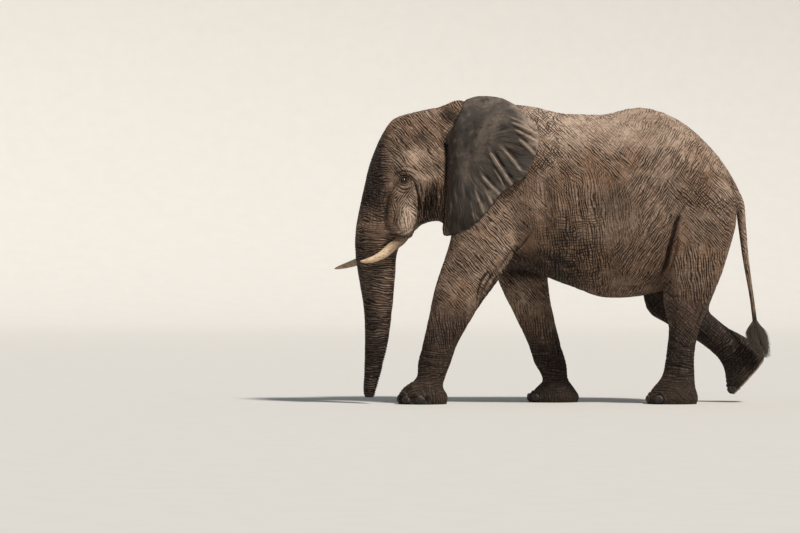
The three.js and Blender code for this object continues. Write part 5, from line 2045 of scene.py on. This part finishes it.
@frozen
class HideFinish:
    """Thick wrinkled hide: grey-brown, pale where dusty, dark where damp, with painted shade in its furrows
    and creases and painted highlight on their crests.
    """

    bare: Colour = srgb(106, 85, 70)
    # Dust's colour, also used for painted highlight on crests and painted light on sunlit parts.
    pale: Colour = srgb(188, 165, 146)
    rust: Colour = srgb(130, 96, 69)
    # Wet mud, also the colour of the painted shade that the damp share carries.
    mud: Colour = srgb(26, 18, 14)
    shade: Colour = srgb(22, 15, 12)
    ear_tone: Colour = srgb(68, 64, 60)
    # Pale of the ear's streaks, also used as painted highlight on fold crests.
    ear_streak_and_highlight: Colour = srgb(160, 141, 124)
    # Pale horn of the lifted sole, partly a painted highlight along its edge.
    sole_horn: Colour = srgb(222, 202, 176)
    furrow_depth: float = 0.013
    grain_depth: float = 0.0012

    def lines(self, kit: NodeKit, count: Value, aside: Value, through: Value, width: float) -> Socket:
        """One family of furrows that stray, fork, fade and break as they go.

        Args:
            kit: The material under construction.
            count: Grows by one from furrow to furrow.
            aside: Grows by one every few furrows' spacing along the furrows.
            through: A third measure, through the hide.
            width: The half width of a furrow, as a share of the spacing.

        Returns:
            1 at the bottom of a furrow and 0 on the crests between furrows.
        """
        where = kit.node("CombineXYZ", {0: kit.times(count, 0.42), 1: aside, 2: through})
        stray, fade, _ = kit.parts(kit.noise(where, 1.0, 2.0, "Color"))
        phase = kit.calc("MULTIPLY_ADD", stray, 3.2, count)
        away = kit.calc("PINGPONG", phase, 0.5)
        return kit.times(kit.step(away, width, 0.0), kit.step(fade, 0.3, 0.52, (0.3, 1.0)))

    def wrinkles(self, kit: NodeKit, place: Value) -> Socket:
        """All wrinkles of the hide.

        Args:
            kit: The material's nodes.
            place: The place on the hide.

        Returns:
            1 in a furrow and 0 between.
        """
        ahead, through, _ = kit.parts(place)
        through = kit.times(through, 8.0)
        crossing = kit.painted("crossing")
        total: Value = 0.0
        for course, share in zip(COURSES, kit.parts(kit.painted("lie", "Vector"))):
            ways = (tuple(part / MM for part in way) for way in course.families())
            main, cross = (kit.vector("DOT_PRODUCT", place, way, out="Value") for way in ways)
            net = self.crossed(kit, main, cross, through, crossing)
            total = kit.calc("MULTIPLY_ADD", share, net, total)
        columns = kit.times(ahead, 26.0)
        net = self.crossed(kit, kit.painted("rings"), columns, through, crossing)
        return kit.calc("MULTIPLY_ADD", kit.painted("level"), net, total)

    def crossed(self, kit: NodeKit, main: Value, cross: Value, through: Value, crossing: Value) -> Socket:
        """A main family of furrows with a weaker one across it."""
        first = self.lines(kit, main, kit.times(cross, 0.16), through, 0.44)
        second = self.lines(kit, cross, kit.times(main, 0.16), through, 0.34)
        return kit.calc("MAXIMUM", first, kit.times(second, crossing))

    def material(self) -> bpy.types.Material:
        """Paints the hide.

        Returns:
            The material, ready to wear.
        """
        kit = NodeKit("elephant_hide")
        place = kit.place()
        damp, dust, warm = kit.parts(kit.painted("tones", "Vector"))
        ear, folds, sole = kit.painted("ear"), kit.painted("folds"), kit.painted("sole")
        cloud = kit.noise(place, 2.2, 5.0)
        blotch = kit.noise(place, 9.0, 5.0)
        grain = kit.noise(place, 120.0, 4.0)
        uneven = kit.step(kit.noise(place, 6.0, 3.0), 0.3, 0.6, (0.6, 1.0))
        uneven = kit.times(uneven, kit.painted("worn"))
        furrows = kit.times(self.wrinkles(kit, place), uneven)
        lost = kit.step(furrows, 0.28, 0.9)
        # Crests between the furrows, to be painted pale as dust and painted highlight.
        raised = kit.times(kit.step(furrows, 0.2, 0.0), kit.calc("SUBTRACT", 1.0, ear))
        raised = kit.times(raised, kit.step(damp, 0.0, 1.0, (1.0, 0.3)))
        bent = kit.vector("MULTIPLY_ADD", kit.noise(place, 7.0, 3.0, "Color"), (0.09, 0.09, 0.09), place)
        ahead, _, up = kit.parts(place)
        along = {0: kit.times(kit.painted("rings"), 0.8), 1: kit.times(ahead, 5.0)}
        streak = kit.noise(kit.node("CombineXYZ", {**along, 2: kit.times(up, 5.0)}), 1.0, 6.0)
        smooth = kit.step(kit.painted("level"), 0.0, 0.6, (0.85, 0.0))
        streak = kit.blend(smooth, streak, kit.noise(place, 14.0, 6.0))
        pad = kit.times(kit.cracks(bent, 42.0, 0.12), sole)
        # Painted shade in the drawn creases, and painted highlight on their crests.
        crease_shade = kit.step(folds, -0.1, -1.0)
        crests = kit.step(folds, 0.2, 0.85)
        depth = kit.calc("MULTIPLY_ADD", lost, 0.5, kit.times(furrows, 0.5))
        height = kit.calc("SUBTRACT", 1.0, kit.calc("MAXIMUM", depth, pad))
        pits = kit.node("TexVoronoi", {"Vector": place, "Scale": 110.0}, "Distance")
        fine = kit.calc("ADD", grain, kit.times(pits, 0.7))
        normal = kit.bump(height, self.furrow_depth)
        normal = kit.bump(fine, self.grain_depth, Strength=0.6, Normal=normal)

        colour = kit.blend(kit.step(cloud, 0.35, 0.7), self.bare, self.rust, 0.45)
        colour = kit.blend(kit.step(blotch, 0.45, 0.8), colour, self.pale, 0.22)
        colour = kit.blend(warm, colour, self.rust, 0.65)
        colour = kit.blend(ear, colour, self.ear_tone, 0.94)
        powder = kit.noise(place, 34.0, 4.0)
        # Dust, together with the painted light that the dust share carries.
        dusty = kit.times(dust, kit.step(powder, 0.3, 0.62, (0.45, 1.1)))
        colour = kit.blend(dusty, colour, self.pale)
        # Mud and wet hide, with the painted shade that the damp share carries.
        mud_and_shade = kit.calc("ADD", damp, kit.calc("MULTIPLY_ADD", blotch, 0.3, -0.15))
        mud_and_shade = kit.times(mud_and_shade, 0.95)
        colour = kit.blend(kit.step(mud_and_shade, 0.0, 1.0), colour, self.mud)
        flecks = kit.times(kit.step(kit.noise(place, 110.0, 4.0), 0.45, 0.72), damp)
        colour = kit.blend(flecks, colour, self.bare, 0.42)
        matt = kit.times(kit.step(streak, 0.5, 0.28), ear)
        colour = kit.blend(matt, colour, self.mud, 0.6)
        # Painted highlight on fold crests, together with the ear's real pale streaks.
        highlight_and_streaks = kit.times(crests, kit.step(blotch, 0.3, 0.6, (0.35, 0.85)))
        highlight_and_streaks = kit.calc("MAXIMUM", highlight_and_streaks, kit.step(streak, 0.52, 0.8, (0.0, 0.45)))
        highlight_and_streaks = kit.times(highlight_and_streaks, kit.step(ear, 0.0, 1.0, (0.3, 1.0)))
        colour = kit.blend(kit.times(highlight_and_streaks, kit.calc("MAXIMUM", ear, crests)), colour, self.ear_streak_and_highlight)
        # The lifted sole painted pale horn, partly a painted highlight along its edge.
        colour = kit.blend(sole, colour, self.sole_horn, 0.95)
        # Paler crests between the furrows, as dust and painted highlight.
        raised = kit.times(raised, kit.step(powder, 0.25, 0.65, (0.1, 0.5)))
        colour = kit.blend(kit.times(raised, kit.painted("worn")), colour, self.pale)
        # Painted shade in the furrows, the drawn creases and the cracks of the sole.
        dark = kit.calc("MAXIMUM", kit.times(lost, 0.86), kit.times(crease_shade, 0.8))
        dark = kit.calc("MAXIMUM", dark, kit.times(pad, 0.4))
        colour = kit.blend(dark, colour, self.shade)
        rough = kit.calc("MULTIPLY_ADD", damp, -0.12, 0.88)
        return kit.finish(Base_Color=colour, Roughness=rough, Normal=normal, Specular_IOR_Level=0.18)


@frozen
class IvoryFinish:
    """Worn ivory: cream, stained brown by the lip and along fine lengthwise cracks."""

    cream: Colour = srgb(226, 200, 168)
    amber: Colour = srgb(168, 122, 80)
    stain: Colour = srgb(84, 58, 38)
    # How much the tusk is greyed as painted shade.
    dull: float = 0.0

    def material(self) -> bpy.types.Material:
        """Paints a tusk.

        Returns:
            The material, ready to wear.
        """
        kit = NodeKit("worn_ivory")
        place = kit.place()
        along = kit.painted("along")
        grain = kit.noise(kit.stretch(place, (7, 26, 16)), 3.0, 6.0)
        colour = kit.blend(kit.step(grain, 0.4, 0.75), self.cream, self.amber)
        by_lip = kit.step(kit.calc("ADD", along, kit.times(grain, 0.16)), 0.62, 0.34)
        colour = kit.blend(by_lip, colour, self.stain, 0.75)
        crack = kit.cracks(kit.stretch(place, (6, 40, 22)), 2.4, 0.035)
        colour = kit.blend(crack, colour, self.stain, 0.55)
        # A tusk in shade is painted greyer.
        if self.dull:
            colour = kit.blend(self.dull, colour, srgb(120, 106, 92))
        normal = kit.bump(kit.calc("SUBTRACT", grain, crack), 0.0012)
        rough = kit.step(grain, 0.3, 0.8, (0.32, 0.55))
        return kit.finish(Base_Color=colour, Roughness=rough, Normal=normal, Subsurface_Weight=0.08)


@frozen
class NailFinish:
    """Horn of the toenails: dark grey with growth lines, a paler rim and dried mud."""

    horn: Colour = srgb(62, 56, 51)
    worn: Colour = srgb(38, 33, 29)
    rim: Colour = srgb(98, 86, 74)
    mud: Colour = srgb(28, 21, 17)

    def material(self) -> bpy.types.Material:
        """Paints the nails.

        Returns:
            The material, ready to wear.
        """
        kit = NodeKit("toenail_horn")
        place = kit.place()
        lines = kit.noise(kit.stretch(place, (2, 2, 30)), 6.0, 4.0)
        dirt = kit.noise(place, 24.0, 5.0)
        _, _, height = kit.parts(place)
        low = kit.step(height, 0.09, 0.0, (0.0, 0.3))
        colour = kit.blend(kit.step(lines, 0.35, 0.7), self.horn, self.worn)
        colour = kit.blend(kit.step(kit.painted("edge"), 0.7, 0.9, (0.0, 0.7)), colour, self.rim)
        colour = kit.blend(kit.step(kit.calc("ADD", dirt, low), 0.42, 0.72), colour, self.mud)
        normal = kit.bump(kit.calc("ADD", lines, kit.times(dirt, 0.5)), 0.002)
        return kit.finish(Base_Color=colour, Roughness=0.62, Normal=normal)


@frozen
class EyeFinish:
    """A wet eye: brown iris with rays, a dark pupil and a dark rim."""

    iris: Colour = srgb(92, 54, 26)
    deep: Colour = srgb(34, 18, 9)
    white: Colour = srgb(38, 26, 20)

    def material(self) -> bpy.types.Material:
        """Paints the eyes.

        Returns:
            The material, ready to wear.
        """
        kit = NodeKit("wet_eye")
        off = kit.painted("off_axis")
        rays = kit.noise(kit.place(), 420.0, 4.0)
        colour = kit.blend(kit.step(rays, 0.35, 0.7), self.deep, self.iris)
        colour = kit.blend(kit.step(off, 0.82, 1.0), colour, (0.012, 0.008, 0.006, 1))
        colour = kit.blend(kit.step(off, 1.02, 1.2), colour, self.white)
        colour = kit.blend(kit.step(off, 0.54, 0.46), colour, (0.004, 0.003, 0.003, 1))
        return kit.finish(Base_Color=colour, Roughness=0.2, Coat_Weight=0.3, Coat_Roughness=0.03)


@frozen
class HairFinish:
    """Wiry hair, dark at the root and dusty grey-brown towards the tip."""

    root: Colour = srgb(50, 43, 38)
    tip: Colour = srgb(110, 98, 86)

    def material(self) -> bpy.types.Material:
        """The hair's material."""
        kit = NodeKit("wiry_hair")
        down, lock = kit.painted("down"), kit.painted("lock")
        mixed = kit.calc("ADD", kit.times(down, 0.45), kit.times(lock, 0.6))
        colour = kit.blend(mixed, self.root, self.tip)
        return kit.finish(Base_Color=colour, Roughness=0.5)


# --- the studio
@frozen
class Studio:
    """A plain pale floor, soft light from high up and the camera, level with the animal's chest."""

    drawing: Drawing
    camera_x: float = -1680.0
    camera_away: float = 40.0
    camera_height: float = 1.40
    lens: float = 171.4
    lens_rise: float = 0.004
    floor_radius: float = 52.0
    cove_radius: float = 16.0
    cove_steps: int = 12

    def floor(self) -> None:
        """A round floor that curves up into a wall all round, far behind every view."""
        deselect()
        bpy.ops.mesh.primitive_circle_add(vertices=96, radius=self.floor_radius, fill_type="NGON")
        floor = bpy.context.object
        floor.name = "studio_floor"
        with editing(floor):
            bpy.ops.mesh.select_all(action="SELECT")
            bpy.ops.mesh.inset(thickness=self.floor_radius * 0.4)
            bpy.ops.mesh.select_all(action="SELECT")
            bpy.ops.mesh.region_to_loop()
            radius = self.floor_radius
            for step in range(1, self.cove_steps + 1):
                angle = math.pi / 2 * step / self.cove_steps
                before = math.pi / 2 * (step - 1) / self.cove_steps
                wider = self.floor_radius + self.cove_radius * math.sin(angle)
                rise = self.cove_radius * (math.cos(before) - math.cos(angle))
                bpy.ops.mesh.extrude_edges_move()
                bpy.ops.transform.resize(value=(wider / radius, wider / radius, 1), center_override=(0, 0, 0))
                bpy.ops.transform.translate(value=(0, 0, rise))
                radius = wider
            bpy.ops.mesh.select_all(action="SELECT")
            bpy.ops.mesh.normals_make_consistent(inside=True)
        smooth_shaded(floor)
        kit = NodeKit("studio_floor_paint")
        speck = kit.noise(kit.place(), 3.0, 4.0)
        colour = kit.blend(speck, srgb(206, 203, 198), srgb(212, 209, 204))
        floor.data.materials.append(kit.finish(Base_Color=colour, Roughness=0.9, Specular_IOR_Level=0.1))

    def lights(self) -> None:
        """A high, warm, softened sun from behind the camera's right, with pale air all round."""
        bpy.ops.object.light_add(type="SUN", rotation=(math.radians(36), 0, math.radians(44)))
        sun = bpy.context.object
        sun.name = "key_lamp"
        sun.data.energy, sun.data.angle = 3.6, math.radians(7)
        sun.data.color = (1.0, 0.955, 0.89)
        world = bpy.data.worlds.new("studio_air")
        bpy.context.scene.world = world
        world.use_nodes = True
        air = world.node_tree.nodes["Background"]
        air.inputs["Color"].default_value = (0.80, 0.86, 0.94, 1)
        air.inputs["Strength"].default_value = 0.30
        bpy.context.scene.view_settings.view_transform = "Standard"

    def camera(self) -> None:
        """The camera, far off and level, looking along +Y."""
        x = (self.camera_x + self.drawing.shift[0]) * MM
        place = (x, -self.camera_away, self.camera_height)
        bpy.ops.object.camera_add(location=place, rotation=(math.pi / 2, 0, 0))
        camera = bpy.context.object
        camera.data.lens, camera.data.sensor_width = self.lens, 36.0
        camera.data.shift_y = self.lens_rise
        camera.data.clip_end = 400.0
        bpy.context.scene.camera = camera

    def build(self) -> None:
        """Everything round the animal."""
        self.floor()
        self.lights()
        self.camera()


# --- the whole animal
@frozen
class Elephant:
    """All pieces of the animal, each with its finish."""

    drawing: Drawing

    def dress(self, piece: Piece, material: bpy.types.Material) -> None:
        """Gives a piece smooth shading, its material and its body, and reports it.

        Args:
            piece: The piece.
            material: What it is made to look like.
        """
        smooth_shaded(piece)
        piece.data.materials.clear()
        piece.data.materials.append(material)
        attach(piece, BODY)
        LOG.info("%s: %d faces", piece.name, len(piece.data.polygons))

    def build(self) -> None:
        """Builds and dresses the pieces in order."""
        self.dress(Hide(self.drawing).build(), HideFinish().material())
        # The far tusk is greyed as painted shade.
        for side, line, dull in ((Side.LEFT, LEFT_TUSK_LINE, 0.0), (Side.RIGHT, RIGHT_TUSK_LINE, 0.35)):
            tusk = Tusk(side, line).build(self.drawing)
            self.dress(tusk, IvoryFinish(dull=dull).material())
        wet, wiry, horn = EyeFinish().material(), HairFinish().material(), NailFinish().material()
        for side in BOTH:
            lids = Eyelids(side)
            self.dress(Eye(side, lids).build(self.drawing), wet)
            self.dress(Lashes(side, lids).build(self.drawing), wiry)
        for nail in TOENAILS:
            self.dress(nail.build(self.drawing), horn)
        self.dress(TailHair().build(self.drawing), wiry)


def main() -> None:
    """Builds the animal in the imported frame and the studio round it."""
    logging.basicConfig(level=logging.INFO, format="%(name)s: %(message)s")
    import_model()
    drawing = Drawing.from_eye("eye_left", (Eyelids.eye[0], -Eyelids.eye[1], Eyelids.eye[2]))
    Elephant(drawing).build()
    Studio(drawing).build()
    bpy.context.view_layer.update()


if __name__ == "__main__":
    main()
